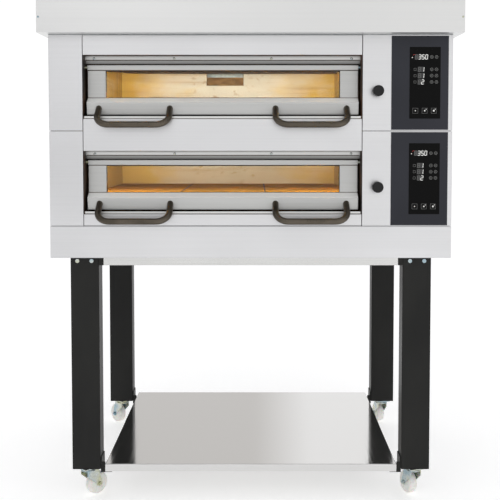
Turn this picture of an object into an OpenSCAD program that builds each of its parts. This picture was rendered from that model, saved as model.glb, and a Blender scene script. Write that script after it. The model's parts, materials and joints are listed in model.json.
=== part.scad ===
// Two-deck electric pizza oven on a wheeled stand.
// Origin: on the floor, at the middle of the overall box. +Z up, front towards -Y.

/* [Oven body] */
// Depth of the oven body, front sheet to back sheet
body_d = 1000; // [800:10:1400]
// Height of one deck
deck_h = 330; // [275:5:450]
// Height of the plinth under the lower deck
plinth_h = 110; // [80:5:180]
// Width of the front column left of the doors
left_column_w = 116; // [60:2:240]
// Width of the strip between a door's recess and the control panel
knob_strip_w = 99; // [80:1:160]
// Width left of the front column at the right of the control panel
panel_margin = 15; // [6:1:60]
// Thickness of the casing sheets
sheet = 1.5; // [1:0.25:2]
// Visible gap between neighbouring casing sheets
seam = 2; // [1:0.5:3]
// Depth of the folded returns on the front sheets
fold = 18; // [12:1:24]

/* [Hood] */
// Height of the hood
hood_h = 108; // [60:4:200]
// Overhang of the hood in front of the body
hood_front = 50; // [30:5:90]
// Overhang of the hood at each side
hood_side = 28; // [10:2:60]
// Outside diameter of the flue spigot
flue_d = 125; // [100:5:160]
// Height of the flue spigot above the hood
flue_h = 50; // [30:5:90]
// Distance from the hood's back to the spigot's axis
flue_back = 150; // [110:5:250]

/* [Chamber] */
// Width inside the baking chamber
chamber_w = 940; // [700:10:1300]
// Space between the chamber's back wall and the back sheet
back_space = 170; // [138:2:260]
// Distance of the chamber's middle to the left of the door's middle
chamber_shift = 7; // [0:1:12]
// Distance from the window's bottom edge down to the stone floor
hearth_drop = 9; // [6:1:14]
// Height from the stone floor to the ceiling
chamber_h = 165; // [138:1:200]
// Number of hearth stones side by side
stone_count = 3; // [2:1:4]
// Thickness of a hearth stone
stone_t = 20; // [16:1:30]
// Space for the lower elements under the stones
under_stone = 24; // [20:1:30]
// Width of the vent in the back wall
vent_w = 164; // [100:4:260]
// Diameter of a heating rod
rod_d = 8; // [6:0.5:10]

/* [Door] */
// Height of a door
door_h = 173; // [144:1:208]
// Bottom edge of a door above the deck's base
door_z0 = 56; // [46:1:68]
// Gap at each side of a door
door_gap = 9; // [7:1:14]
// Height of a door's lower rail
low_rail_h = 59; // [49:1:71]
// Height of a door's top rail
top_rail_h = 18; // [15:1:30]
// Width of a door's stile at each side of the window
stile_w = 63; // [50:1:90]
// Width of the frame between the window's edge and the chamber's mouth
mouth_margin = 42; // [30:1:48]
// Width that the chamber's wall stands outside its mouth
mouth_lip = 20; // [16:1:40]
// Thickness of a glass pane
glass_t = 4; // [3:0.5:5]
// Diameter of a hinge pin
pin_d = 8; // [6:0.5:8]

/* [Handles] */
// Diameter of the handle bar
handle_d = 22; // [16:1:26]
// Outside width of a handle
handle_w = 268; // [200:4:322]
// Distance from the door's edge to a handle's middle
handle_inset = 165; // [138:1:198]
// Length of a handle's legs along their own direction
handle_leg = 85; // [70:1:95]
// Bend radius at the middle of the bar
handle_bend = 44; // [26:1:45]
// Slope of the handle's legs below horizontal
handle_slope = 40; // [30:1:50]

/* [Controls] */
// Width of the control panel
panel_w = 196; // [160:4:240]
// Width of the display glass
display_w = 106; // [80:2:128]
// Height of the display glass
display_h = 245; // [200:5:260]
// Distance of the display's middle to the right of the control panel's middle
display_shift = 17; // [0:1:30]
// Diameter of the damper knob
knob_d = 38; // [28:1:48]
// Distance from the strip's left edge to the damper knob's middle
knob_inset = 51; // [42:1:61]
// Middle of the damper knob above the deck's base
knob_z = 137; // [125:1:150]
// Diameter of the damper rod
damper_rod_d = 10; // [8:0.5:12]
// Travel of the damper
damper_travel = 50; // [40:1:60]

/* [Stand] */
// Height of the stand, floor to plinth
stand_h = 872; // [600:4:1100]
// Width of a leg
leg_w = 100; // [80:2:120]
// Depth of a leg
leg_d = 70; // [60:2:90]
// Wall of a leg
leg_wall = 2.5; // [2:0.5:4]
// Distance from the body's side to a leg's middle
leg_inset = 110; // [60:2:200]
// Setback of the front legs behind the front sheet
leg_setback = 40; // [20:2:90]
// Setback of the rear legs in front of the back sheet
rear_setback = 106; // [20:2:200]
// Height of the top rails
rail_h = 32; // [24:1:45]
// Depth of the top rails
rail_d = 30; // [20:1:40]
// Gap between a leg and the crossbar or the shelf
bracket_w = 16; // [10:1:24]
// Height of the shelf's lip
shelf_lip = 27; // [20:1:40]
// Height of the shelf's top above the legs' feet
shelf_rise = 19.5; // [10:0.5:60]

/* [Casters] */
// Diameter of a caster wheel
wheel_d = 80; // [60:1:100]
// Width of the wheel's tread
wheel_w = 32; // [24:1:40]
// Height from the wheel's top to the leg
caster_head = 29; // [26:1:40]
// Distance between the swivel axis and the axle
trail = 35; // [25:1:40]
// Diameter of the axle
axle_d = 8; // [6:0.5:10]
// Rest heading of each caster: front left, front right, rear left, rear right
caster_turns = [48, 110, 135, 103]; // [0:1:360]

/* [Hidden] */
$fn = 48;

hair = 0.2;         // gap that keeps neighbouring sheets separate pieces
running = 0.05;     // radial clearance of a shaft in its hole
decks = [0, 1];     // lower and upper deck
sides = [-1, 1];    // left and right

// levels
plinth_top = stand_h + plinth_h;
body_top = plinth_top + len(decks) * deck_h;
hood_z = body_top + sheet;
hood_top = hood_z + hood_h;

// widths, from the chamber outwards
mouth_w = chamber_w - 2 * mouth_lip;
window_w = mouth_w - 2 * mouth_margin;
door_w = window_w + 2 * stile_w;
recess_w = door_w + 2 * door_gap;
body_w = left_column_w + recess_w + knob_strip_w + panel_w + panel_margin + 2 * seam;
body_x = body_w / 2;
hood_x = body_x + hood_side;

// heights within a deck
door_z1 = door_z0 + door_h;
window_z0 = door_z0 + low_rail_h;
window_z1 = door_z1 - top_rail_h;
hearth_z = window_z0 - hearth_drop;

// door recess: an opening in the front, a little larger than the door
recess_x0 = -body_x + left_column_w + seam;
recess_x1 = recess_x0 + recess_w;
recess_z0 = door_z0 - 14;
recess_z1 = door_z1 + 32;
recess_in_x0 = recess_x0 + sheet;
recess_in_x1 = recess_x1 - sheet;

// depths measured back from the front sheet
rail_top_y = 12;                       // bulge of the door's lower rail
rail_low_y = rail_top_y + 7;           // foot of the lower rail
top_rail_y = 36;                       // front of the top rail
stile_y = 38;                          // front of the stiles
pane_y = stile_y + 4;                  // front of the outer pane
door_mid_y = stile_y + 22;             // back of the rails and stiles
door_back_y = door_mid_y + 6;          // back of the inner frame
seal_t = 3.7;
mouth_y = door_back_y + 0.3 + seal_t;  // front of the mouth frame
mouth_t = 2;
chamber_y = mouth_y + mouth_t + hair;
back_wall_y = body_d - back_space;
chamber_d = back_wall_y - chamber_y;

// chamber
door_x = (recess_x0 + recess_x1) / 2;
chamber_x = door_x - chamber_shift;
chamber_x0 = chamber_x - chamber_w / 2;
chamber_x1 = chamber_x + chamber_w / 2;
ceiling_z = hearth_z + chamber_h;
pan_z = hearth_z - stone_t - under_stone;
mouth_z1 = window_z1 - 3;
mouth_x0 = door_x - mouth_w / 2;
mouth_x1 = door_x + mouth_w / 2;
upper_rod_z = ceiling_z - 13;
lower_rod_z = pan_z + under_stone / 2;
rod_spread = 90;                       // half the width of a heating loop
loop_ys = [chamber_y + chamber_d / 4, chamber_y + 3 * chamber_d / 4];
probe_y = chamber_y + chamber_d / 2;
probe_d = 6;
terminal_l = 50;                       // element ends outside the chamber wall

// door
door_x0 = door_x - door_w / 2;
door_x1 = door_x + door_w / 2;
window_x0 = door_x - window_w / 2;
window_x1 = door_x + window_w / 2;
bevel_z = window_z0 - 17;
inner_frame_z1 = door_z1 - 11;
hinge_y = top_rail_y + 8;
hinge_z = door_z1 - 7;
rail_lean = atan((rail_low_y - rail_top_y) / (bevel_z - door_z0));
handle_z = bevel_z - 22;
handle_y = rail_top_y + (bevel_z - handle_z) * tan(rail_lean);
handle_mid_x = handle_w / 2 - handle_d / 2;
handle_pitch = door_w - 2 * handle_inset;
handle_out = handle_leg * cos(handle_slope) - handle_y + handle_d / 2;

// controls on the right column
knob_x = recess_x1 + seam + knob_inset;
panel_x = body_x - panel_margin - panel_w / 2;
display_x = panel_x + display_shift;

// exhaust: a channel behind each chamber, a gate slit and one riser
vent_x = chamber_x - 14;
vent_z0 = ceiling_z - 62;
vent_z1 = ceiling_z - 7;
duct_y0 = back_wall_y + sheet + hair;
duct_inner_d = 52;
duct_y1 = duct_y0 + duct_inner_d + 2 * sheet;
duct_z0 = vent_z0 - 6;
duct_z1 = ceiling_z - 1;
gate_t = 2;
gate_slit = gate_t + 1;
riser_x0 = knob_x + 14;
riser_w = 100;

// right of the insulation stands the electrical partition
partition_x = knob_x - 12;
insulation_x0 = -body_x + sheet + hair;
insulation_y1 = body_d - sheet - hair;
insulation_gap_z = 8;                  // half height of the element slots

// rear gland and origin
gland_x = body_x - 95;
gland_z = plinth_top + 70;
gland_bore_d = 14;
gland_thread_d = 28;
gland_reach = 26;
front_reach = max(hood_front, handle_out);
front_y = (front_reach - body_d - gland_reach) / 2;

// stand
leg_x = body_x - leg_inset;
leg_y = [leg_setback + leg_d / 2, body_d - rear_setback - leg_d / 2];
leg_foot_t = 5;
clear_x = leg_x - leg_w / 2;           // inner face of a leg
span_x = clear_x - bracket_w;          // half length of crossbars and shelf
shelf_y0 = leg_setback;
shelf_y1 = leg_y[1] + leg_d / 2 + 3;
bolt_d = 8;

// casters
caster_h = wheel_d + caster_head;
shelf_z = caster_h + shelf_rise;
hub_w = wheel_w + 4;
crown_t = 4;
plate_t = 4;
race_h = 5;
crown_z = caster_h - plate_t - race_h - 0.5;
cheek_t = 3;
cheek_y = hub_w / 2 + 0.3;
kingpin_d = 12;
axle_z = wheel_d / 2;
caster_pos = [for (y = leg_y) for (x = [-leg_x, leg_x]) [x, y]];

function deck_z(i) = plinth_top + i * deck_h;

module oven() {
    translate([0, front_y, 0]) children();
}

module deck(i) {
    translate([0, front_y, deck_z(i)]) children();
}

module caster(i) {
    oven() translate([caster_pos[i].x, caster_pos[i].y, 0]) rotate([0, 0, caster_turns[i]]) children();
}

// a block between two limits on each axis
module slab(x, y, z) {
    translate([x[0], y[0], z[0]]) cube([x[1] - x[0], y[1] - y[0], z[1] - z[0]]);
}

// a round bar along Y
module bar_y(d, y, x = 0, z = 0) {
    translate([x, y[1], z]) rotate([90, 0, 0]) cylinder(d = d, h = y[1] - y[0]);
}

// a round bar along X
module bar_x(d, x, y = 0, z = 0) {
    translate([x[0], y, z]) rotate([0, 90, 0]) cylinder(d = d, h = x[1] - x[0]);
}

// four upright sheets around a rectangle
module upright_walls(x, y, z, t) {
    slab(x, [y[0], y[0] + t], z);
    slab(x, [y[1] - t, y[1]], z);
    slab([x[0], x[0] + t], [y[0] + t + hair, y[1] - t - hair], z);
    slab([x[1] - t, x[1]], [y[0] + t + hair, y[1] - t - hair], z);
}

// ---- stand ----

module leg(x, y) {
    translate([x, y, 0]) {
        difference() {
            slab([-leg_w / 2, leg_w / 2], [-leg_d / 2, leg_d / 2], [caster_h, stand_h - leg_foot_t - hair]);
            slab([-leg_w / 2 + leg_wall, leg_w / 2 - leg_wall],
                [-leg_d / 2 + leg_wall, leg_d / 2 - leg_wall], [caster_h + leg_foot_t, stand_h]);
            for (s = sides) bar_y(bolt_d + 2 * running, [-leg_d, 0], s * leg_w / 4, stand_h - rail_h / 2);
        }
        slab([-leg_w / 2, leg_w / 2], [-leg_d / 2, leg_d / 2], [stand_h - leg_foot_t, stand_h]);
    }
}

module leg_pair(y) {
    color("#262624") oven() for (s = sides) leg(s * leg_x, y);
}

module crossbars() {
    color("silver") oven() for (y = leg_y) {
        difference() {
            slab([-span_x, span_x], [y - leg_d / 2 + 1, y - leg_d / 2 + 1 + rail_d],
                [stand_h - rail_h, stand_h]);
            slab([-span_x - 1, span_x + 1], [y - leg_d / 2 + 1 + 2 * sheet, y],
                [stand_h - rail_h + 2 * sheet, stand_h - 2 * sheet]);
        }
    }
}

module side_rails() {
    color("#262624") oven() for (s = sides) translate([s * leg_x, 0, 0])
        slab([-rail_d / 2, rail_d / 2], [leg_y[0] + leg_d / 2, leg_y[1] - leg_d / 2],
            [stand_h - rail_h, stand_h]);
}

// end blocks of the crossbars and angle brackets of the shelf, one of each at every leg
module stand_brackets() {
    shelf_low = shelf_z - shelf_lip;
    color("#1f1f1e") oven() for (m = [0, 1]) mirror([m, 0, 0]) for (y = leg_y) {
        slab([span_x, clear_x], [y - leg_d / 2 + 1, y - leg_d / 2 + 1 + rail_d],
            [stand_h - rail_h, stand_h]);
        slab([clear_x - 4, clear_x], [y - leg_d / 2 + 5, y + leg_d / 2 - 5], [shelf_low - 4, shelf_z + 24]);
        slab([span_x - 24, clear_x], [y - leg_d / 2 + 5, y + leg_d / 2 - 5], [shelf_low - 4, shelf_low]);
        slab([span_x, clear_x], [y - leg_d / 2 + 5, y - leg_d / 2 + 9], [shelf_low - 4, shelf_z + 6]);
    }
}

module lower_shelf() {
    color("silver") oven() difference() {
        slab([-span_x, span_x], [shelf_y0, shelf_y1], [shelf_z - shelf_lip, shelf_z]);
        slab([-span_x + sheet, span_x - sheet], [shelf_y0 + sheet, shelf_y1 - sheet],
            [shelf_z - shelf_lip - 1, shelf_z - sheet]);
    }
}

module stand_bolts() {
    head_d = 14;
    head_t = 4;
    color("silver") oven() for (y = leg_y) for (x = [-leg_x, leg_x]) for (s = sides)
        translate([x + s * leg_w / 4, y - leg_d / 2, stand_h - rail_h / 2]) {
            bar_y(head_d, [-head_t, 0]);
            bar_y(bolt_d, [0, leg_wall + 10]);
        }
}

// ---- casters ----

module caster_plates() {
    race_d = 46;
    head_h = 3;
    color("lightsteelblue") for (i = [0 : len(caster_pos) - 1]) caster(i) {
        slab([-34, 34], [-29, 29], [caster_h - plate_t, caster_h]);
        translate([0, 0, crown_z + 0.5]) cylinder(d = race_d, h = race_h);
        translate([0, 0, crown_z - crown_t - 1]) cylinder(d = kingpin_d, h = crown_t + 2);
        translate([0, 0, crown_z - crown_t - 0.5 - head_h]) cylinder(d = kingpin_d + 8, h = head_h);
    }
}

module caster_cheek() {
    eye_r = axle_d / 2 + 7;
    difference() {
        linear_extrude(cheek_t) {
            polygon([[-18, crown_z], [28, crown_z], [trail + eye_r, axle_z], [trail - eye_r, axle_z],
                [-18, crown_z - 22]]);
            translate([trail, axle_z]) circle(r = eye_r);
        }
        translate([trail, axle_z, -1]) cylinder(d = axle_d + 2 * running, h = cheek_t + 2);
    }
}

// fork with its axle bolt
module caster_fork(i) {
    nut_t = 5;
    outer_y = cheek_y + cheek_t;
    color("lightsteelblue") caster(i) {
        difference() {
            union() {
                translate([0, 0, crown_z - crown_t]) cylinder(d = 52, h = crown_t);
                slab([-18, 28], [-outer_y, outer_y], [crown_z - crown_t, crown_z]);
                translate([0, -cheek_y, 0]) rotate([90, 0, 0]) caster_cheek();
                translate([0, outer_y, 0]) rotate([90, 0, 0]) caster_cheek();
            }
            translate([0, 0, crown_z - crown_t - 1]) cylinder(d = kingpin_d + 2 * running, h = crown_t + 2);
        }
        bar_y(axle_d, [-outer_y - 2, outer_y + 2], trail, axle_z);
        for (s = sides) translate([trail, s * (outer_y + hair + nut_t / 2), axle_z]) rotate([90, 0, 0])
            cylinder(d = axle_d + 6, h = nut_t, center = true, $fn = 6);
    }
}

module caster_wheel(i) {
    round_r = 9;
    bore_r = axle_d / 2 + running;
    rim_r = wheel_d / 2;
    color("#e6e6e0") caster(i) translate([trail, 0, axle_z]) rotate([90, 0, 0]) rotate_extrude() {
        translate([bore_r, -hub_w / 2]) square([axle_d, hub_w]);
        translate([bore_r, -wheel_w / 2]) square([rim_r - round_r - bore_r, wheel_w]);
        translate([rim_r - round_r - 1, -wheel_w / 2 + round_r]) square([round_r + 1, wheel_w - 2 * round_r]);
        for (s = sides) translate([rim_r - round_r, s * (wheel_w / 2 - round_r)]) circle(r = round_r);
    }
}

// ---- casing ----

module plinth() {
    color("gainsboro") oven() {
        upright_walls([-body_x, body_x], [0, body_d],
            [stand_h + sheet + hair, plinth_top - sheet - hair], sheet);
        slab([-body_x, body_x], [0, body_d], [stand_h, stand_h + sheet]);
        slab([-body_x, body_x], [0, body_d], [plinth_top - sheet, plinth_top]);
    }
}

module hood() {
    flange = 60;
    y0 = -hood_front;
    color("gainsboro") oven() {
        upright_walls([-hood_x, hood_x], [y0, body_d], [hood_z, hood_top - sheet - hair], sheet);
        difference() {
            slab([-hood_x, hood_x], [y0, body_d], [hood_top - sheet, hood_top]);
            translate([0, body_d - flue_back, hood_top - 2 * sheet])
                cylinder(d = flue_d - 2 * sheet, h = 4 * sheet);
        }
        slab([-hood_x + sheet + hair, hood_x - sheet - hair], [y0 + sheet + hair, flange - hood_front],
            [hood_z, hood_z + sheet]);
        slab([-hood_x + sheet + hair, hood_x - sheet - hair], [body_d - flange, body_d - sheet - hair],
            [hood_z, hood_z + sheet]);
        for (m = [0, 1]) mirror([m, 0, 0])
            slab([body_x - flange / 2, hood_x - sheet - hair],
                [flange - hood_front + hair, body_d - flange - hair], [hood_z, hood_z + sheet]);
    }
}

module flue_spigot() {
    flange_d = flue_d + 40;
    color("silver") oven() translate([0, body_d - flue_back, hood_top]) difference() {
        union() {
            cylinder(d = flange_d, h = sheet);
            cylinder(d = flue_d, h = flue_h);
        }
        translate([0, 0, -1]) cylinder(d = flue_d - 2 * sheet, h = flue_h + 2);
    }
}

module roof_cover() {
    color("silver") oven() difference() {
        slab([-body_x, body_x], [0, body_d], [body_top, body_top + sheet]);
        slab([riser_x0 - 1, riser_x0 + riser_w + 1], [duct_y0 - 1, duct_y1 + 1], [body_top - 1, hood_z + 1]);
    }
}

module side_panel(x) {
    slab(x, [fold + hair, body_d - sheet - hair], [plinth_top + seam, body_top - seam / 2]);
}

module side_panel_left() {
    color("gainsboro") oven() side_panel([-body_x, -body_x + sheet]);
}

// the right side panel has cooling slots for the electrical compartment
module side_panel_right() {
    slot_l = 120;
    slot_h = 5;
    slot_pitch = 14;
    color("gainsboro") oven() difference() {
        side_panel([body_x - sheet, body_x]);
        for (d = decks) for (k = [0 : 7])
            slab([body_x - 2 * sheet, body_x + sheet], [body_d - 240, body_d - 240 + slot_l],
                [deck_z(d) + 80 + k * slot_pitch, deck_z(d) + 80 + k * slot_pitch + slot_h]);
    }
}

module back_panel() {
    color("gainsboro") oven() difference() {
        slab([-body_x, body_x], [body_d - sheet, body_d], [plinth_top + seam, body_top - seam / 2]);
        bar_y(gland_thread_d + 2 * running, [body_d - 2 * sheet, body_d + sheet], gland_x, gland_z);
    }
}

// a front sheet over the door recess, with returns folded back at its upper and lower edges
module fascia(z0, z1) {
    x = [recess_x0, recess_x1];
    color("gainsboro") oven() {
        slab(x, [0, sheet], [z0, z1]);
        slab(x, [0, fold], [z0, z0 + sheet]);
        slab(x, [0, fold], [z1 - sheet, z1]);
    }
}

module fascia_top() {
    fascia(deck_z(1) + recess_z1, body_top - seam / 2);
}

module fascia_middle() {
    fascia(deck_z(0) + recess_z1, deck_z(1) + recess_z0);
}

module fascia_bottom() {
    fascia(plinth_top + seam, deck_z(0) + recess_z0);
}

// bottom and top of a column sheet on deck i
function column_z(i) = [deck_z(i) + (i == 0 ? seam : seam / 2), deck_z(i) + deck_h - seam / 2];

module column(x, i) {
    slab(x, [0, sheet], column_z(i));
    for (e = [[x[0], x[0] + sheet], [x[1] - sheet, x[1]]]) slab(e, [0, fold], column_z(i));
}

module left_columns() {
    color("gainsboro") oven() for (i = decks) column([-body_x, recess_x0 - seam], i);
}

// the right column carries the damper's bush and the opening behind the display
module right_columns() {
    bush_d = damper_rod_d + 10;
    color("gainsboro") oven() for (i = decks) difference() {
        union() {
            column([recess_x1 + seam, body_x], i);
            bar_y(bush_d, [0, 14], knob_x, deck_z(i) + knob_z);
        }
        bar_y(damper_rod_d + 2 * running, [-1, 15], knob_x, deck_z(i) + knob_z);
        display_cutout(i);
    }
}

module display_cutout(i) {
    margin = 10;
    translate([display_x, 0, deck_z(i) + deck_h / 2])
        slab([margin - display_w / 2, display_w / 2 - margin], [-10, 10],
            [margin - display_h / 2, display_h / 2 - margin]);
}

module electrical_partition() {
    color("silver") oven() slab([partition_x, partition_x + sheet], [fold + seam, back_wall_y],
        [plinth_top + hair, body_top - hair]);
}

module contactor_plate() {
    base = [partition_x + 60, body_x - 30];
    color("dimgray") oven() translate([0, 420, plinth_top]) {
        slab(base, [0, 300], [0, 3]);
        for (k = [0 : 2]) slab([base[0] + 10 + k * 50, base[0] + 55 + k * 50], [20, 100], [3 + hair, 88]);
        slab([base[0] + 10, base[0] + 150], [180, 220], [3 + hair, 48]);
    }
}

module controller_boards() {
    post_d = 6;
    board_y = 16;
    color("darkgreen") oven() for (i = decks) translate([display_x, 0, deck_z(i) + deck_h / 2]) {
        slab([-display_w / 2, display_w / 2], [board_y, board_y + 2], [-display_h / 2, display_h / 2]);
        slab([-display_w / 4, display_w / 4], [1, board_y], [-display_h / 3, display_h / 3]);
        for (x = sides) for (z = sides)
            bar_y(post_d, [sheet + hair, board_y], x * (display_w / 2 - 5), z * (display_h / 2 - 5));
    }
}

module cable_gland() {
    head_d = gland_thread_d + 10;
    color("dimgray") oven() translate([gland_x, 0, gland_z]) difference() {
        union() {
            bar_y(gland_thread_d, [body_d - 18, body_d]);
            bar_y(head_d, [body_d, body_d + 14]);
            bar_y(gland_thread_d, [body_d + 14, body_d + gland_reach]);
            bar_y(head_d, [body_d - sheet - 7, body_d - sheet - hair]);
        }
        bar_y(gland_bore_d, [body_d - 19, body_d + gland_reach + 1]);
    }
}

// a channel behind each chamber on both sides of the gate slit, and the riser they share
module exhaust_duct() {
    y = [duct_y0, duct_y1];
    yi = [duct_y0 + sheet, duct_y1 - sheet];
    x_gate = [knob_x - gate_slit / 2, knob_x + gate_slit / 2];
    lug_w = damper_rod_d + 14;
    arm_x = knob_x + damper_rod_d / 2 + 1;
    color("silver") oven() {
        for (i = decks) translate([0, 0, deck_z(i)]) difference() {
            slab([vent_x - vent_w / 2 - 10, x_gate[0]], y, [duct_z0, duct_z1]);
            slab([vent_x - vent_w / 2, x_gate[0] + 1], yi, [duct_z0 + sheet, duct_z1 - sheet]);
            slab([vent_x - vent_w / 2, vent_x + vent_w / 2], [duct_y0 - 1, duct_y0 + 5], [vent_z0, vent_z1]);
        }
        difference() {
            union() {
                for (i = decks) translate([0, 0, deck_z(i)])
                    slab([x_gate[1], riser_x0 + 1], y, [duct_z0, duct_z1]);
                slab([riser_x0, riser_x0 + riser_w], y, [deck_z(0) + duct_z0, hood_z + 10]);
                for (i = decks) translate([0, duct_y1, deck_z(i)]) {
                    slab([arm_x, knob_x + lug_w / 2], [-8, 8], [knob_z - lug_w / 2, duct_z0]);
                    slab([knob_x - lug_w / 2, knob_x + lug_w / 2], [2, 8],
                        [knob_z - lug_w / 2, knob_z + lug_w / 2]);
                }
            }
            for (i = decks) translate([0, 0, deck_z(i)]) {
                slab([x_gate[1] - 1, riser_x0 + sheet + 1], yi, [duct_z0 + sheet, duct_z1 - sheet]);
                bar_y(damper_rod_d + 2 * running, [duct_y1, duct_y1 + 10], knob_x, knob_z);
            }
            slab([riser_x0 + sheet, riser_x0 + riser_w - sheet], yi,
                [deck_z(0) + duct_z0 + sheet, hood_z + 11]);
        }
    }
}

// ---- one deck ----

// side, top and floor sheets of the recess and the frame around the chamber's mouth
module recess_liner(i) {
    x = [recess_in_x0 + hair, recess_in_x1 - hair];
    y = [sheet + hair, mouth_y - hair];
    mouth = [mouth_y, mouth_y + mouth_t];
    color("#2b211b") deck(i) {
        slab([recess_x0, recess_in_x0], y, [recess_z0 + hair, recess_z1 - hair]);
        slab([recess_in_x1, recess_x1], y, [recess_z0 + hair, recess_z1 - hair]);
        slab(x, y, [recess_z0 + hair, recess_z0 + sheet]);
        slab(x, y, [recess_z1 - sheet, recess_z1 - hair]);
        slab([recess_x0, recess_x1], mouth, [mouth_z1, recess_z1]);
        slab([recess_x0, recess_x1], mouth, [recess_z0, hearth_z]);
        slab([recess_x0, mouth_x0], mouth, [hearth_z + hair, mouth_z1 - hair]);
        slab([mouth_x1, recess_x1], mouth, [hearth_z + hair, mouth_z1 - hair]);
    }
}

// stepped strip above each door with its screws, and the lip of the sill
module recess_trims() {
    x = [recess_in_x0 + 2 * hair, recess_in_x1 - 2 * hair];
    step_z = door_z1 + 17;
    strip_y = 33;
    low_y = strip_y + 8;
    inner_screw = 169;
    outer_screw = door_w / 2 - 24;
    color("darkgray") for (i = decks) deck(i) {
        slab(x, [strip_y, strip_y + sheet], [step_z, recess_z1 - sheet - hair]);
        slab(x, [strip_y, low_y + sheet], [step_z, step_z + sheet]);
        slab(x, [low_y, low_y + sheet], [door_z1 + 4, step_z + sheet]);
        slab(x, [6, 8], [recess_z0 + sheet + hair, recess_z0 + 9]);
        for (sx = [-outer_screw, -inner_screw, inner_screw, outer_screw])
            bar_y(7, [strip_y - 2, strip_y - 0.05], door_x + sx, step_z + 5);
    }
}

module chamber(i) {
    x = [chamber_x0, chamber_x1];
    y = [chamber_y, back_wall_y - hair];
    z = [pan_z + hair, ceiling_z - hair];
    bar_t = 8;
    color("#c8a050") deck(i) {
        slab([x[0] - sheet, x[0]], y, z);
        difference() {
            slab([x[1], x[1] + sheet], y, z);
            for (ly = loop_ys) for (s = sides) for (rz = [lower_rod_z, upper_rod_z])
                bar_x(rod_d + 0.6, [x[1] - 1, x[1] + 5], ly + s * rod_spread, rz);
            bar_x(probe_d + 0.6, [x[1] - 1, x[1] + 5], probe_y, upper_rod_z);
        }
        slab([x[0] - sheet, x[1] + sheet], y, [pan_z - sheet, pan_z]);
        slab([x[0] - sheet, x[1] + sheet], y, [ceiling_z, ceiling_z + sheet]);
        slab([x[0] + hair, x[1] - hair], [chamber_y, chamber_y + sheet], [mouth_z1, ceiling_z - hair]);
        difference() {
            slab([x[0] - sheet, x[1] + sheet], [back_wall_y, back_wall_y + sheet],
                [pan_z - sheet, ceiling_z + sheet]);
            slab([vent_x - vent_w / 2, vent_x + vent_w / 2], [back_wall_y - 1, back_wall_y + 5],
                [vent_z0, vent_z1]);
        }
        for (by = [y[0] + 1, probe_y - bar_t / 2, y[1] - 1 - bar_t])
            slab([x[0] + hair, x[1] - hair], [by, by + bar_t], [pan_z + hair, pan_z + under_stone]);
    }
}

module stones(i) {
    gap = 1.2;
    pitch = (chamber_w - gap) / stone_count;
    color("#be8232") deck(i) for (k = [0 : stone_count - 1])
        slab([chamber_x0 + gap + k * pitch, chamber_x0 + (k + 1) * pitch], [chamber_y + 0.5, back_wall_y - 1],
            [pan_z + under_stone, hearth_z]);
}

// one heating loop: two rods and a half turn, with feet on the wall it hangs from or stands on
module heating_loop(y, z, foot_z) {
    turn_x = chamber_x0 + 20 + rod_spread;
    for (s = sides) {
        bar_x(rod_d, [turn_x, chamber_x1 + terminal_l], y + s * rod_spread, z);
        for (x = [turn_x + 60, chamber_x, chamber_x1 - 120])
            translate([x, y + s * rod_spread, min(z, foot_z)]) cylinder(d = 4, h = abs(foot_z - z));
    }
    translate([turn_x, y, z]) rotate([0, 0, 90]) rotate_extrude(angle = 180)
        translate([rod_spread, 0]) circle(d = rod_d);
}

module elements(i) {
    color("#5a4a40") deck(i) for (y = loop_ys) {
        heating_loop(y, upper_rod_z, ceiling_z - hair);
        heating_loop(y, lower_rod_z, pan_z + hair);
    }
}

// mineral wool blocks around the chamber, clear of the exhaust channel and the element ends
module insulation(i) {
    wall = sheet + hair;
    x = [insulation_x0, partition_x - hair];
    xr = [chamber_x1 + wall, partition_x - hair];
    y = [chamber_y, insulation_y1];
    ys = [chamber_y, back_wall_y + sheet];
    yb = [back_wall_y + wall, insulation_y1];
    z = [pan_z - wall, ceiling_z + wall];
    channel_x0 = vent_x - vent_w / 2 - 10;
    color("khaki") deck(i) {
        slab(x, y, [i == 0 ? hair : hair / 2, z[0]]);
        slab(x, y, [z[1], deck_h - hair]);
        slab([x[0], chamber_x0 - wall], ys, [z[0] + hair, z[1] - hair]);
        slab(xr, ys, [z[0] + hair, lower_rod_z - insulation_gap_z]);
        slab(xr, ys, [lower_rod_z + insulation_gap_z, upper_rod_z - insulation_gap_z]);
        slab(xr, ys, [upper_rod_z + insulation_gap_z, z[1] - hair]);
        slab(x, yb, [z[0] + hair, duct_z0 - hair]);
        slab([x[0], channel_x0 - hair], yb, [duct_z0, z[1] - hair]);
        slab([channel_x0, x[1]], [duct_y1 + hair, insulation_y1], [duct_z0, z[1] - hair]);
    }
}

// outline of the lower rail across the door, drawn a sheet inwards for the hollow
function rail_outline(inset) = [
    [stile_y + inset, window_z0 - inset],
    [rail_top_y + inset, bevel_z - inset / 2],
    [rail_low_y + inset, door_z0 + inset],
    [door_mid_y + (inset > 0 ? 1 : 0), door_z0 + inset],
    [door_mid_y + (inset > 0 ? 1 : 0), window_z0 - inset]
];

// a prism along X from an outline in Y and Z
module prism_x(x, points) {
    translate([x[0], 0, 0]) rotate([90, 0, 90]) linear_extrude(x[1] - x[0]) polygon(points);
}

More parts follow.
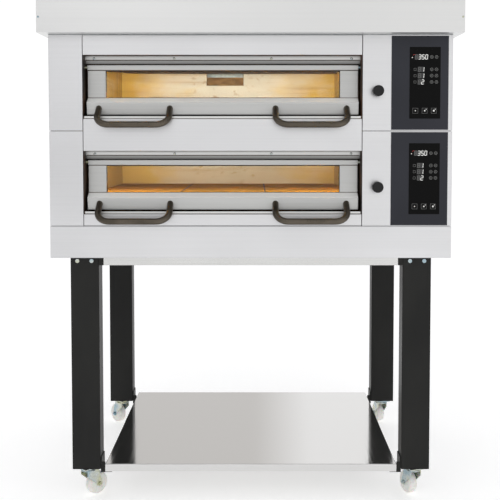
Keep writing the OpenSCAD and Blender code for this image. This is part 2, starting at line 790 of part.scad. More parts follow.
// rails and stiles are folded trays, open at the back, closed by the inner frame
module door_frame(i) {
    end_block = 28;
    rail_z0 = window_z1 + hair;
    color("lightgray") deck(i) {
        difference() {
            slab([door_x0, door_x1], [top_rail_y, door_mid_y], [rail_z0, door_z1]);
            slab([door_x0 + end_block, door_x1 - end_block], [top_rail_y + sheet, door_mid_y + 1],
                [rail_z0 + sheet, door_z1 - sheet]);
            for (x = [[door_x0 - 1, door_x0 + end_block + 1], [door_x1 - end_block - 1, door_x1 + 1]])
                bar_x(pin_d + 2 * running, x, hinge_y, hinge_z);
        }
        for (x0 = [door_x0, window_x1]) difference() {
            slab([x0, x0 + stile_w], [stile_y, door_mid_y], [window_z0 + hair, window_z1]);
            slab([x0 + sheet, x0 + stile_w - sheet], [stile_y + sheet, door_mid_y + 1],
                [window_z0, window_z1 + 1]);
        }
        difference() {
            prism_x([door_x0, door_x1], rail_outline(0));
            prism_x([door_x0 + sheet, door_x1 - sheet], rail_outline(sheet));
        }
        back = [door_mid_y + hair, door_back_y];
        slab([door_x0, door_x1], back, [window_z1, inner_frame_z1]);
        slab([door_x0, door_x1], back, [door_z0, window_z0]);
        slab([door_x0, window_x0], back, [window_z0 + hair, window_z1 - hair]);
        slab([window_x1, door_x1], back, [window_z0 + hair, window_z1 - hair]);
    }
}

module door_glass(i) {
    margin = 0.3;
    color([0.8, 0.85, 0.85, 0.35]) deck(i) for (y = [pane_y, door_mid_y - 2 - glass_t])
        slab([window_x0 + margin, window_x1 - margin], [y, y + glass_t],
            [window_z0 + margin, window_z1 - margin]);
}

// a round bar bent twice, legs towards +Y
module handle_bar() {
    straight = handle_mid_x - handle_bend;
    bend_y = handle_bend - handle_leg;
    bar_x(handle_d, [-straight, straight], -handle_leg);
    for (m = [0, 1]) mirror([m, 0, 0]) {
        translate([straight, bend_y, 0]) rotate([0, 0, -90]) rotate_extrude(angle = 90)
            translate([handle_bend, 0]) circle(d = handle_d);
        bar_y(handle_d, [bend_y, handle_d], handle_mid_x);
    }
}

// the legs end flush on the lower rail
module door_handles(i) {
    color("#5a544a") deck(i) for (s = sides)
        translate([door_x + s * handle_pitch / 2, handle_y, handle_z]) difference() {
            rotate([handle_slope, 0, 0]) handle_bar();
            rotate([rail_lean, 0, 0]) slab([-handle_w, handle_w], [0, 2 * handle_d], [-handle_w, handle_w]);
        }
}

// knob, pull rod and gate plate
module damper(i) {
    knob_back = 12;
    knob_t = 22;
    edge_r = 4;
    gate_y = [duct_y0 + sheet + 2, duct_y1 - sheet - 2];
    color("#1a1a1a") deck(i) translate([knob_x, 0, 0]) {
        translate([0, -knob_back, knob_z]) rotate([90, 0, 0]) rotate_extrude() {
            square([knob_d / 2 - edge_r, knob_t]);
            square([knob_d / 2, knob_t - edge_r]);
            translate([knob_d / 2 - edge_r, knob_t - edge_r]) circle(r = edge_r);
        }
        bar_y(damper_rod_d + 8, [-knob_back, -4], 0, knob_z);
        bar_y(damper_rod_d, [-knob_back, duct_y1 + 8 + damper_travel + 6], 0, knob_z);
        slab([-gate_t / 2, gate_t / 2], gate_y, [knob_z, duct_z1 - sheet - 2]);
    }
}

module control_panel(i) {
    edge = 4;
    color("#3a3b42") deck(i) difference() {
        translate([panel_x, 0, 0]) slab([-panel_w / 2, panel_w / 2], [-2, 0], [edge, deck_h - edge]);
        translate([0, 0, -deck_z(i)]) display_cutout(i);
    }
}

module display(i) {
    color("#161614") deck(i) translate([display_x, 0, deck_h / 2])
        slab([-display_w / 2, display_w / 2], [-3, -2], [-display_h / 2, display_h / 2]);
}

// ---- small parts of both decks ----

// pins with a collar, fixed to the recess sides and running in the top rail
module hinge_pins() {
    collar_d = pin_d + 6;
    collar_t = 3;
    reach = 24;
    color("silver") for (i = decks) deck(i) {
        bar_x(pin_d, [recess_in_x0, door_x0 + reach], hinge_y, hinge_z);
        bar_x(pin_d, [door_x1 - reach, recess_in_x1], hinge_y, hinge_z);
        bar_x(collar_d, [recess_in_x0, recess_in_x0 + collar_t], hinge_y, hinge_z);
        bar_x(collar_d, [recess_in_x1 - collar_t, recess_in_x1], hinge_y, hinge_z);
    }
}

module thermocouples() {
    color("silver") for (i = decks) deck(i)
        bar_x(probe_d, [chamber_x1 - 70, chamber_x1 + terminal_l - 6], probe_y, upper_rod_z);
}

// a round lens on a base ring, high on each side wall near the mouth
module chamber_lamps() {
    lamp_y = chamber_y + 90;
    lamp_z = hearth_z + 105;
    color("lightyellow") for (i = decks) deck(i) {
        bar_x(58, [chamber_x0, chamber_x0 + 4], lamp_y, lamp_z);
        bar_x(46, [chamber_x0 + 4, chamber_x0 + 16], lamp_y, lamp_z);
        bar_x(58, [chamber_x1 - 4, chamber_x1], lamp_y, lamp_z);
        bar_x(46, [chamber_x1 - 16, chamber_x1 - 4], lamp_y, lamp_z);
    }
}

// four seal strips around each mouth
module door_seals() {
    w = 9;
    y = [mouth_y - seal_t, mouth_y];
    z = [hearth_z - 1, mouth_z1 + 0.5];
    color("#4a4038") for (i = decks) deck(i) {
        slab([mouth_x0 - w, mouth_x1 + w], y, [z[1], z[1] + w]);
        slab([mouth_x0 - w, mouth_x1 + w], y, [z[0] - w, z[0]]);
        slab([mouth_x0 - w, mouth_x0], y, [z[0] + hair, z[1] - hair]);
        slab([mouth_x1, mouth_x1 + w], y, [z[0] + hair, z[1] - hair]);
    }
}

leg_pair(leg_y[0]);  // legs_front
leg_pair(leg_y[1]);  // legs_rear
crossbars();
side_rails();
stand_brackets();
lower_shelf();
stand_bolts();
caster_plates();
caster_fork(0);  // caster_fork_fl
caster_fork(1);  // caster_fork_fr
caster_fork(2);  // caster_fork_rl
caster_fork(3);  // caster_fork_rr
caster_wheel(0);  // caster_wheel_fl
caster_wheel(1);  // caster_wheel_fr
caster_wheel(2);  // caster_wheel_rl
caster_wheel(3);  // caster_wheel_rr
plinth();
hood();
flue_spigot();
roof_cover();
side_panel_left();
side_panel_right();
back_panel();
fascia_top();
fascia_middle();
fascia_bottom();
left_columns();
right_columns();
exhaust_duct();
cable_gland();
electrical_partition();
contactor_plate();
controller_boards();
hinge_pins();
thermocouples();
chamber_lamps();
door_seals();
recess_trims();
recess_liner(0);  // lower_recess_liner
chamber(0);  // lower_chamber
insulation(0);  // lower_insulation
stones(0);  // lower_stones
elements(0);  // lower_elements
door_frame(0);  // lower_door_frame
door_glass(0);  // lower_door_glass
door_handles(0);  // lower_door_handles
damper(0);  // lower_damper
control_panel(0);  // lower_control_panel
display(0);  // lower_display
recess_liner(1);  // upper_recess_liner
chamber(1);  // upper_chamber
insulation(1);  // upper_insulation
stones(1);  // upper_stones
elements(1);  // upper_elements
door_frame(1);  // upper_door_frame
door_glass(1);  // upper_door_glass
door_handles(1);  // upper_door_handles
damper(1);  // upper_damper
control_panel(1);  // upper_control_panel
display(1);  // upper_display
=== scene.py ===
"""Looks, fittings and studio for a two-deck electric pizza oven on a wheeled stand."""

import json
import math

import bmesh
import bpy
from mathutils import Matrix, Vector


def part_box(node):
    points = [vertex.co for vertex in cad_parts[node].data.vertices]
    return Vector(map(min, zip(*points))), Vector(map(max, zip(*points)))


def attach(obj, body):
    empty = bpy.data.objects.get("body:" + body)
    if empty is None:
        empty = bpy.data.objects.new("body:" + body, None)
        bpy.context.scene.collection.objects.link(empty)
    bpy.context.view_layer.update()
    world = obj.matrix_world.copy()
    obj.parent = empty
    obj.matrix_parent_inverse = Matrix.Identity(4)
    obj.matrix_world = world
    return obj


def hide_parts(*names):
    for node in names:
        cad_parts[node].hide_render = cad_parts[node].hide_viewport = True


bl_info = {
    "name": "Deck Oven Finish",
    "version": (1, 0, 0),
    "blender": (4, 5, 0),
    "location": "3D View > Sidebar > Deck Oven",
    "description": "Finishes, fittings and studio for a two-deck pizza oven",
    "category": "Object",
}

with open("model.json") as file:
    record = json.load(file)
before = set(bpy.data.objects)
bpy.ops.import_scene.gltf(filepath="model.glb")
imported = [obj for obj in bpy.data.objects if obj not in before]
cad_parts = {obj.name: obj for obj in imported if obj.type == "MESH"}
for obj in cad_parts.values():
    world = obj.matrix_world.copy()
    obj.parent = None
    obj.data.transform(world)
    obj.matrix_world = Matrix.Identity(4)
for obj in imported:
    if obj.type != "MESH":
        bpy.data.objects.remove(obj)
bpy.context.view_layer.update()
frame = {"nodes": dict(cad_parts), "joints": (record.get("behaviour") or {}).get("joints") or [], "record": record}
MM = 0.001
DECKS = ("lower", "upper")
CASTERS = ("fl", "fr", "rl", "rr")
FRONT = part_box("left_columns")[0].y      # front face of the body sheets
SPIN = 48                                # sides of a round fitting
# sizes in millimetres that follow the oven's own fittings
DIGIT_PITCH = 11.5                       # from one display digit to the next
STRIP_SETBACK = 33                       # from the body front to the strip over a door
SCREW_RISE = 22                          # from the top of a door to its screws
INNER_SCREW, SCREW_EDGE = 169, 24        # recess screws: from the door's middle, and in from its ends
STILE_SETBACK = 38                       # from the body front to a door's stiles
STILE_W, LOW_RAIL_H, TOP_RAIL_H = 63, 59, 18
VENT_W, VENT_H, VENT_DROP = 164, 55, 8.5
VENT_SHIFT, BAFFLE_H = 14, 36            # the vent's offset from the middle, and its baffle's height
FLANGE_T = 1.5 * MM                      # thickness of the flue spigot's flange, in metres
AXLE_REACH, AXLE_CAP = 26.4, 8           # from a wheel's middle to its axle's ends, and their width
SIDE_ROWS = 5                            # rows of screws on a side panel
SIDE_FIRST, SIDE_PITCH, SIDE_EDGE = 30, 149.3, 25
BACK_COUNT, BACK_END, BACK_EDGE = 8, 30, 20
HOOD_RIVET_IN, HOOD_RIVET_DOWN = 7, 56
SPIGOT_RIVETS, FLANGE_EDGE = 6, 11       # rivets in the flange, and how far in they sit
SHEET_T = 2.2                            # a face narrower than this is a sheet's own edge
SHORT_EDGE = 20                          # a corner shorter than this isn't rounded
SHARP_TURN = math.radians(25)            # a flatter corner isn't rounded
CAMERA_X = 0.0173                        # camera's place across the oven, in metres
SHIFT_X, SHIFT_Y = -0.0114, -0.142
FLOOR_GLOW, ROOM_GLOW = 0.36, 1.04       # strength of the floor's and the room's own light


def hex_colour(text):
    """An sRGB hex colour as linear red, green and blue."""
    parts = [int(text[k:k + 2], 16) / 255 for k in (1, 3, 5)]
    return tuple(c / 12.92 if c <= 0.04045 else ((c + 0.055) / 1.055) ** 2.4 for c in parts)


# ---- sizes and colours that a user changes ----

def length(name, description, default_mm):
    return bpy.props.FloatProperty(
        name=name, description=description, default=default_mm * MM, min=0, unit="LENGTH", subtype="DISTANCE")


def tint(name, description, text):
    return bpy.props.FloatVectorProperty(
        name=name, description=description, default=hex_colour(text), min=0, max=1, size=3, subtype="COLOR")


class OvenColours(bpy.types.PropertyGroup):
    """Colours of the oven's finishes."""
    casing: tint("Casing", "Brushed stainless sheet of the body", "#DFDFE0")
    hood: tint("Hood", "Brushed stainless sheet of the hood", "#DDDDDC")
    door: tint("Door", "Brushed stainless sheet of the doors", "#C4C4C2")
    # the chamber colour is laid on towards the lamp ends: partly heat tint, partly painted warm lamp light
    chamber: tint("Chamber", "Heat-tinted stainless sheet of the chambers", "#E3C566")
    # the stone colour is beige tinted orange, partly painted warm lamp light
    stone: tint("Hearth stone", "Fired cordierite slab", "#BE9140")
    # the handle colour is plain stainless darkened as a painted reflection of dark surroundings
    handle: tint("Handles", "Dark bronze finish of the handle tube", "#635C52")
    leg: tint("Legs", "Black powder coat of the stand", "#191918")
    panel: tint("Control panel", "Charcoal lacquer of the control panel", "#2A2B31")
    glow: tint("Lamp light", "Light of the chamber lamps", "#FFE9B8")


class OvenSizes(bpy.types.PropertyGroup):
    """Sizes of the fittings."""
    screw_d: length("Screw head", "Diameter of a casing screw's head", 9)
    rivet_d: length("Rivet head", "Diameter of a hood rivet's head", 7)
    digit_h: length("Digit height", "Height of the temperature digits", 15)
    fold_r: length("Fold radius", "Outside radius of a folded sheet corner", 3)


class StudioSettings(bpy.types.PropertyGroup):
    """Camera and light."""
    lens: bpy.props.FloatProperty(
        name="Lens", description="Focal length of the camera", default=60.51, min=10, unit="CAMERA")
    tilt: bpy.props.FloatProperty(
        name="Tilt", description="Downward tilt of the camera", default=math.radians(2.62), subtype="ANGLE")
    distance: length("Distance", "Camera to the front of the oven body", 2902)
    eye: length("Eye height", "Camera above the floor", 1279)
    key: bpy.props.FloatProperty(
        name="Key light", description="Power of the front softbox", default=17, min=0, unit="POWER")
    fill: bpy.props.FloatProperty(
        name="Fill light", description="Power of the side softboxes", default=9, min=0, unit="POWER")


def colours():
    return bpy.context.scene.oven_colours


def sizes():
    return bpy.context.scene.oven_sizes


# ---- node helper ----

def add(tree, kind, inputs=None, **settings):
    """Adds a shader node, sets its properties and fills its inputs with values or links."""
    node = tree.nodes.new("ShaderNode" + kind)
    for key, value in settings.items():
        setattr(node, key, value)
    for key, value in (inputs or {}).items():
        if isinstance(value, bpy.types.NodeSocket):
            tree.links.new(value, node.inputs[key])
        elif node.inputs[key].type == "RGBA" and len(value) == 3:
            node.inputs[key].default_value = (*value, 1)
        else:
            node.inputs[key].default_value = value
    return node


def rgba(colour):
    return (*colour, 1)


def scaled(colour, factor):
    return tuple(min(1, c * factor) for c in colour)


def new_material(name, base, roughness, metallic=0.0, **constants):
    """A material with a Principled shader whose constants sit on its own sockets."""
    material = bpy.data.materials.new(name)
    material.use_nodes = True
    shader = material.node_tree.nodes["Principled BSDF"]
    shader.inputs["Base Color"].default_value = rgba(base)
    shader.inputs["Roughness"].default_value = roughness
    shader.inputs["Metallic"].default_value = metallic
    for key, value in constants.items():
        shader.inputs[key.replace("_", " ")].default_value = value
    material.diffuse_color = rgba(base)
    return material, material.node_tree, shader


def stretched(tree, x_mm, y_mm, z_mm, turn=(0, 0, 0)):
    """Object coordinates scaled so that one unit is the given size on each axis."""
    place = add(tree, "TexCoord").outputs["Object"]
    return add(tree, "Mapping", {"Vector": place, "Scale": (1000 / x_mm, 1000 / y_mm, 1000 / z_mm),
                                 "Rotation": turn}).outputs["Vector"]


def sheet_metal(name, base, roughness, run_mm, line_mm, depth_mm=0.02, patch=0.93, metallic=1.0):
    """Stainless sheet brushed in one direction, so its reflections spread into a soft sheen."""
    material, tree, shader = new_material(name, base, roughness, metallic)
    lines = add(tree, "TexNoise", {"Vector": stretched(tree, run_mm, run_mm, line_mm), "Scale": 1.0,
                                   "Detail": 3.0, "Roughness": 0.6}).outputs["Fac"]
    clouds = add(tree, "TexNoise", {"Vector": stretched(tree, 420, 420, 300), "Scale": 1.0,
                                    "Detail": 2.0}).outputs["Fac"]
    share = add(tree, "MapRange", {"Value": clouds, "From Min": 0.3, "From Max": 0.7}).outputs["Result"]
    tone = add(tree, "Mix", {0: share, 6: base, 7: scaled(base, patch)}, data_type="RGBA").outputs[2]
    share = add(tree, "MapRange", {"Value": lines, "From Min": 0.35, "From Max": 0.75, "To Min": 0.0,
                                   "To Max": 0.2}).outputs["Result"]
    tone = add(tree, "Mix", {0: share, 6: tone, 7: scaled(base, patch * 0.9)},
               data_type="RGBA").outputs[2]
    tree.links.new(tone, shader.inputs["Base Color"])
    rough = add(tree, "MapRange", {"Value": lines, "From Min": 0.3, "From Max": 0.7,
                                   "To Min": roughness - 0.04,
                                   "To Max": roughness + 0.05}).outputs["Result"]
    tree.links.new(rough, shader.inputs["Roughness"])
    normal = add(tree, "Bump", {"Height": lines, "Distance": depth_mm * MM,
                                "Strength": 1.0}).outputs["Normal"]
    tree.links.new(normal, shader.inputs["Normal"])
    return material


# ---- finishes, one for each slot of the record ----

def casing_steel():
    # stainless sheet brushed along the width: soft bright sheen, its 0.2 mm lines drawn 5 mm wide to show
    return sheet_metal("brushed_stainless_casing", colours().casing, 0.36, 900, 5)


def hood_steel():
    # the same sheet, a little warmer and more even, its lines drawn 6 mm wide along the hood
    return sheet_metal("brushed_stainless_hood", colours().hood, 0.34, 1100, 6, patch=0.98)


def door_steel():
    # finer brushed stainless on the door: satin faces, with upward-facing faces such as the bevel painted
    # near-white and less metallic as a painted highlight of the light from above
    material, tree, shader = new_material("brushed_stainless_door", colours().door, 0.5, 0.82)
    lines = add(tree, "TexNoise", {"Vector": stretched(tree, 700, 700, 3.5), "Scale": 1.0,
                                   "Detail": 3.0, "Roughness": 0.6}).outputs["Fac"]
    share = add(tree, "MapRange", {"Value": lines, "From Min": 0.35, "From Max": 0.75, "To Min": 0.0,
                                   "To Max": 0.3}).outputs["Result"]
    tone = add(tree, "Mix", {0: share, 6: colours().door, 7: scaled(colours().door, 0.86)},
               data_type="RGBA").outputs[2]
    upward = add(tree, "SeparateXYZ", {"Vector": add(tree, "TexCoord").outputs["Normal"]}).outputs["Z"]
    # painted highlight: faces that point up turn near-white and less metallic
    painted_highlight_share = add(tree, "MapRange", {"Value": upward, "From Min": 0.3, "From Max": 0.7}).outputs["Result"]
    tone = add(tree, "Mix", {0: painted_highlight_share, 6: tone, 7: hex_colour("#F6F6F3")}, data_type="RGBA").outputs[2]
    tree.links.new(tone, shader.inputs["Base Color"])
    metal = add(tree, "MapRange", {"Value": painted_highlight_share, "From Min": 0.0, "From Max": 1.0, "To Min": 0.82,
                                   "To Max": 0.1}).outputs["Result"]
    tree.links.new(metal, shader.inputs["Metallic"])
    rough = add(tree, "MapRange", {"Value": lines, "From Min": 0.3, "From Max": 0.7, "To Min": 0.46,
                                   "To Max": 0.55}).outputs["Result"]
    tree.links.new(rough, shader.inputs["Roughness"])
    normal = add(tree, "Bump", {"Height": lines, "Distance": 0.02 * MM,
                                "Strength": 1.0}).outputs["Normal"]
    tree.links.new(normal, shader.inputs["Normal"])
    return material


def rail_steel():
    # bright rolled stainless of the stand's crossbars: clean, slightly streaked along its length
    return sheet_metal("rolled_stainless_crossbar", hex_colour("#D8D8D6"), 0.24, 1200, 7)


def shelf_steel():
    # bright-annealed stainless: near-mirror that shows the legs as soft dark bands
    material, tree, shader = new_material("bright_annealed_shelf", hex_colour("#DAD9D8"), 0.1, 1.0)
    grain = add(tree, "TexNoise", {"Vector": stretched(tree, 5, 700, 30), "Scale": 1.0,
                                   "Detail": 2.0}).outputs["Fac"]
    waves = add(tree, "TexNoise", {"Vector": stretched(tree, 260, 420, 260), "Scale": 1.0,
                                   "Detail": 1.0}).outputs["Fac"]
    rough = add(tree, "MapRange", {"Value": grain, "From Min": 0.3, "From Max": 0.7, "To Min": 0.07,
                                   "To Max": 0.13}).outputs["Result"]
    tree.links.new(rough, shader.inputs["Roughness"])
    normal = add(tree, "Bump", {"Height": waves, "Distance": 0.25 * MM,
                                "Strength": 0.5}).outputs["Normal"]
    tree.links.new(normal, shader.inputs["Normal"])
    return material


def trim_steel():
    # satin stainless strip over the door: painted lit and shaded tones, bright above its fold and a painted shade
    # that darkens towards the door
    material, tree, shader = new_material("satin_stainless_trim", hex_colour("#B4B4B2"), 0.42, 1.0)
    lines = add(tree, "TexNoise", {"Vector": stretched(tree, 600, 600, 4), "Scale": 1.0, "Detail": 3.0,
                                   "Roughness": 0.6}).outputs["Fac"]
    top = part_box("lower_door_frame")[1].z
    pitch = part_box("upper_door_frame")[1].z - top
    height = add(tree, "SeparateXYZ", {"Vector": add(tree, "TexCoord").outputs["Object"]}).outputs["Z"]
    above = add(tree, "Math", {0: height, 1: top}, operation="SUBTRACT").outputs[0]
    above = add(tree, "Math", {0: above, 1: pitch}, operation="FLOORED_MODULO").outputs[0]
    # painted shade: below its fold the strip darkens towards the top of the door; above the fold it is painted
    # bright
    share = add(tree, "MapRange", {"Value": above, "From Min": 0.004,
                                   "From Max": 0.0165}).outputs["Result"]
    painted_shade_tone = add(tree, "Mix", {0: share, 6: hex_colour("#6B6A68"), 7: hex_colour("#ADADAB")},
                 data_type="RGBA").outputs[2]
    share = add(tree, "MapRange", {"Value": above, "From Min": 0.0168,
                                   "From Max": 0.0172}).outputs["Result"]
    tone = add(tree, "Mix", {0: share, 6: painted_shade_tone, 7: hex_colour("#E4E4E2")},
               data_type="RGBA").outputs[2]
    share = add(tree, "MapRange", {"Value": lines, "From Min": 0.4, "From Max": 0.75, "To Min": 0.0,
                                   "To Max": 0.25}).outputs["Result"]
    tone = add(tree, "Mix", {0: share, 6: tone, 7: hex_colour("#8C8C8A")}, data_type="RGBA").outputs[2]
    tree.links.new(tone, shader.inputs["Base Color"])
    rough = add(tree, "MapRange", {"Value": lines, "From Min": 0.3, "From Max": 0.7, "To Min": 0.38,
                                   "To Max": 0.47}).outputs["Result"]
    tree.links.new(rough, shader.inputs["Roughness"])
    return material


def duct_steel():
    # aluminised steel of ducts and covers: grey with faint crystalline patches of 14 mm
    material, tree, shader = new_material("aluminised_duct_sheet", hex_colour("#B7BABB"), 0.42, 1.0)
    cells = add(tree, "TexVoronoi", {"Vector": stretched(tree, 14, 14, 14),
                                     "Scale": 1.0}).outputs["Distance"]
    share = add(tree, "MapRange", {"Value": cells, "From Min": 0.1, "From Max": 0.8}).outputs["Result"]
    tone = add(tree, "Mix", {0: share, 6: hex_colour("#BFC2C3"), 7: hex_colour("#A4A8AA")},
               data_type="RGBA").outputs[2]
    tree.links.new(tone, shader.inputs["Base Color"])
    normal = add(tree, "Bump", {"Height": cells, "Distance": 0.02 * MM,
                                "Strength": 1.0}).outputs["Normal"]
    tree.links.new(normal, shader.inputs["Normal"])
    return material


def leg_black():
    # polyester powder coat: deep black with a fine 1.2 mm orange peel that greys towards grazing angles
    material, tree, shader = new_material("black_powder_coat", colours().leg, 0.42, 0.0,
                                          Specular_IOR_Level=0.2)
    peel = add(tree, "TexNoise", {"Vector": stretched(tree, 1.2, 1.2, 1.2), "Scale": 1.0,
                                  "Detail": 2.0}).outputs["Fac"]
    dust = add(tree, "TexNoise", {"Vector": stretched(tree, 160, 160, 420), "Scale": 1.0,
                                  "Detail": 3.0}).outputs["Fac"]
    share = add(tree, "MapRange", {"Value": dust, "From Min": 0.35, "From Max": 0.7}).outputs["Result"]
    tone = add(tree, "Mix", {0: share, 6: colours().leg, 7: hex_colour("#242422")},
               data_type="RGBA").outputs[2]
    tree.links.new(tone, shader.inputs["Base Color"])
    rough = add(tree, "MapRange", {"Value": dust, "From Min": 0.3, "From Max": 0.7, "To Min": 0.38,
                                   "To Max": 0.48}).outputs["Result"]
    tree.links.new(rough, shader.inputs["Roughness"])
    normal = add(tree, "Bump", {"Height": peel, "Distance": 0.04 * MM,
                                "Strength": 0.6}).outputs["Normal"]
    tree.links.new(normal, shader.inputs["Normal"])
    return material


def zinc():
    # passivated zinc plating: bright with a drifting blue, green and straw tint
    material, tree, shader = new_material("passivated_zinc", hex_colour("#B9C2C4"), 0.24, 1.0)
    drift = add(tree, "TexNoise", {"Vector": stretched(tree, 46, 46, 46), "Scale": 1.0,
                                   "Detail": 1.5}).outputs["Fac"]
    tone = add(tree, "ValToRGB", {"Fac": drift})
    stops = tone.color_ramp.elements
    stops[0].position, stops[0].color = 0.34, rgba(hex_colour("#9FB4BC"))
    stops[1].position, stops[1].color = 0.68, rgba(hex_colour("#C6C6A6"))
    middle = stops.new(0.5)
    middle.color = rgba(hex_colour("#C3C9C6"))
    tree.links.new(tone.outputs["Color"], shader.inputs["Base Color"])
    spots = add(tree, "TexNoise", {"Vector": stretched(tree, 6, 6, 6), "Scale": 1.0,
                                   "Detail": 2.0}).outputs["Fac"]
    rough = add(tree, "MapRange", {"Value": spots, "From Min": 0.3, "From Max": 0.7, "To Min": 0.18,
                                   "To Max": 0.34}).outputs["Result"]
    tree.links.new(rough, shader.inputs["Roughness"])
    return material


def nylon():
    # cast white polyamide: milky, light passes a few millimetres in, scuffed where it rolls
    material, tree, shader = new_material("cast_white_nylon", hex_colour("#E9E8E2"), 0.42, 0.0,
                                          Subsurface_Weight=0.25, Subsurface_Scale=0.006)
    scuff = add(tree, "TexNoise", {"Vector": stretched(tree, 9, 9, 9), "Scale": 1.0, "Detail": 4.0,
                                   "Roughness": 0.6}).outputs["Fac"]
    share = add(tree, "MapRange", {"Value": scuff, "From Min": 0.5, "From Max": 0.78}).outputs["Result"]
    tone = add(tree, "Mix", {0: share, 6: hex_colour("#ECEBE6"), 7: hex_colour("#D2D0C6")},
               data_type="RGBA").outputs[2]
    tree.links.new(tone, shader.inputs["Base Color"])
    rough = add(tree, "MapRange", {"Value": scuff, "From Min": 0.3, "From Max": 0.7, "To Min": 0.34,
                                   "To Max": 0.52}).outputs["Result"]
    tree.links.new(rough, shader.inputs["Roughness"])
    normal = add(tree, "Bump", {"Height": scuff, "Distance": 0.06 * MM,
                                "Strength": 1.0}).outputs["Normal"]
    tree.links.new(normal, shader.inputs["Normal"])
    return material


def recess_dark():
    # heat-browned steel around the door: near black with rust-brown scorching
    material, tree, shader = new_material("scorched_recess_steel", hex_colour("#2A211B"), 0.5, 0.6)
    scorch = add(tree, "TexNoise", {"Vector": stretched(tree, 60, 40, 90), "Scale": 1.0, "Detail": 4.0,
                                    "Roughness": 0.6}).outputs["Fac"]
    share = add(tree, "MapRange", {"Value": scorch, "From Min": 0.38,
                                   "From Max": 0.66}).outputs["Result"]
    tone = add(tree, "Mix", {0: share, 6: hex_colour("#1B1715"), 7: hex_colour("#5A3F2A")},
               data_type="RGBA").outputs[2]
    tree.links.new(tone, shader.inputs["Base Color"])
    rough = add(tree, "MapRange", {"Value": scorch, "From Min": 0.3, "From Max": 0.7, "To Min": 0.42,
                                   "To Max": 0.6}).outputs["Result"]
    tree.links.new(rough, shader.inputs["Roughness"])
    return material


def chamber_steel():
    # stainless sheet after many firings: cream in the middle, straw and gold towards the lamp ends as painted warm
    # lamp light over the heat tint, upright bands on the side walls and brown smudges round the vent
    material, tree, shader = new_material("heat_tinted_stainless_painted_lamp_glow", colours().chamber, 0.42, 0.35)
    low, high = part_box("upper_chamber")
    place = add(tree, "SeparateXYZ", {"Vector": add(tree, "TexCoord").outputs["Object"]})
    from_middle = add(tree, "Math", {0: place.outputs["X"], 1: (low.x + high.x) / 2},
                      operation="SUBTRACT")
    from_middle = add(tree, "Math", {0: from_middle.outputs[0]}, operation="ABSOLUTE").outputs[0]
    half = (high.x - low.x) / 2
    clouds = add(tree, "TexNoise", {"Vector": stretched(tree, 210, 400, 130), "Scale": 1.0,
                                    "Detail": 3.0, "Roughness": 0.6}).outputs["Fac"]
    reach = add(tree, "Math", {0: from_middle, 1: add(tree, "MapRange",
                                                      {"Value": clouds, "From Min": 0.3,
                                                       "From Max": 0.7, "To Min": -0.12,
                                                       "To Max": 0.12}).outputs["Result"]},
                operation="ADD").outputs[0]
    # painted lamp light: the walls turn from cream to the gold chamber colour towards the lamps at the side walls
    share = add(tree, "MapRange", {"Value": reach, "From Min": half * 0.5,
                                   "From Max": half * 0.95}).outputs["Result"]
    tone = add(tree, "Mix", {0: share, 6: hex_colour("#E8E2D9"), 7: colours().chamber},
               data_type="RGBA").outputs[2]
    streaks = add(tree, "TexNoise", {"Vector": stretched(tree, 330, 400, 17), "Scale": 1.0,
                                     "Detail": 3.0, "Roughness": 0.55}).outputs["Fac"]
    share = add(tree, "MapRange", {"Value": streaks, "From Min": 0.5, "From Max": 0.8, "To Min": 0.0,
                                   "To Max": 0.55}).outputs["Result"]
    tone = add(tree, "Mix", {0: share, 6: tone, 7: hex_colour("#BD9C5E")}, data_type="RGBA").outputs[2]
    upright = add(tree, "TexNoise", {"Vector": stretched(tree, 500, 26, 900), "Scale": 1.0,
                                     "Detail": 3.0, "Roughness": 0.6}).outputs["Fac"]
    share = add(tree, "MapRange", {"Value": upright, "From Min": 0.45, "From Max": 0.7, "To Min": 0.0,
                                   "To Max": 0.4}).outputs["Result"]
    tone = add(tree, "Mix", {0: share, 6: tone, 7: hex_colour("#8E7148")}, data_type="RGBA").outputs[2]
    smudge = add(tree, "TexNoise", {"Vector": stretched(tree, 30, 60, 22), "Scale": 1.0, "Detail": 3.0,
                                    "Roughness": 0.6}).outputs["Fac"]
    near_vent = add(tree, "MapRange", {"Value": from_middle, "From Min": 0.2,
                                       "From Max": 0.12}).outputs["Result"]
    smudge = add(tree, "Math", {0: add(tree, "MapRange",
                                       {"Value": smudge, "From Min": 0.57, "From Max": 0.7,
                                        "To Min": 0.0, "To Max": 0.7}).outputs["Result"], 1: near_vent},
                 operation="MULTIPLY")
    tone = add(tree, "Mix", {0: smudge.outputs[0], 6: tone, 7: hex_colour("#B08D5A")},
               data_type="RGBA").outputs[2]
    older = add(tree, "MapRange", {"Value": place.outputs["Z"], "From Min": low.z - 0.06,
                                   "From Max": low.z, "To Min": 0.5, "To Max": 0.0}).outputs["Result"]
    tone = add(tree, "Mix", {0: older, 6: tone, 7: hex_colour("#B79456")}, data_type="RGBA").outputs[2]
    tree.links.new(tone, shader.inputs["Base Color"])
    rough = add(tree, "MapRange", {"Value": streaks, "From Min": 0.3, "From Max": 0.7, "To Min": 0.36,
                                   "To Max": 0.5}).outputs["Result"]
    tree.links.new(rough, shader.inputs["Roughness"])
    normal = add(tree, "Bump", {"Height": streaks, "Distance": 0.05 * MM,
                                "Strength": 1.0}).outputs["Normal"]
    tree.links.new(normal, shader.inputs["Normal"])
    return material


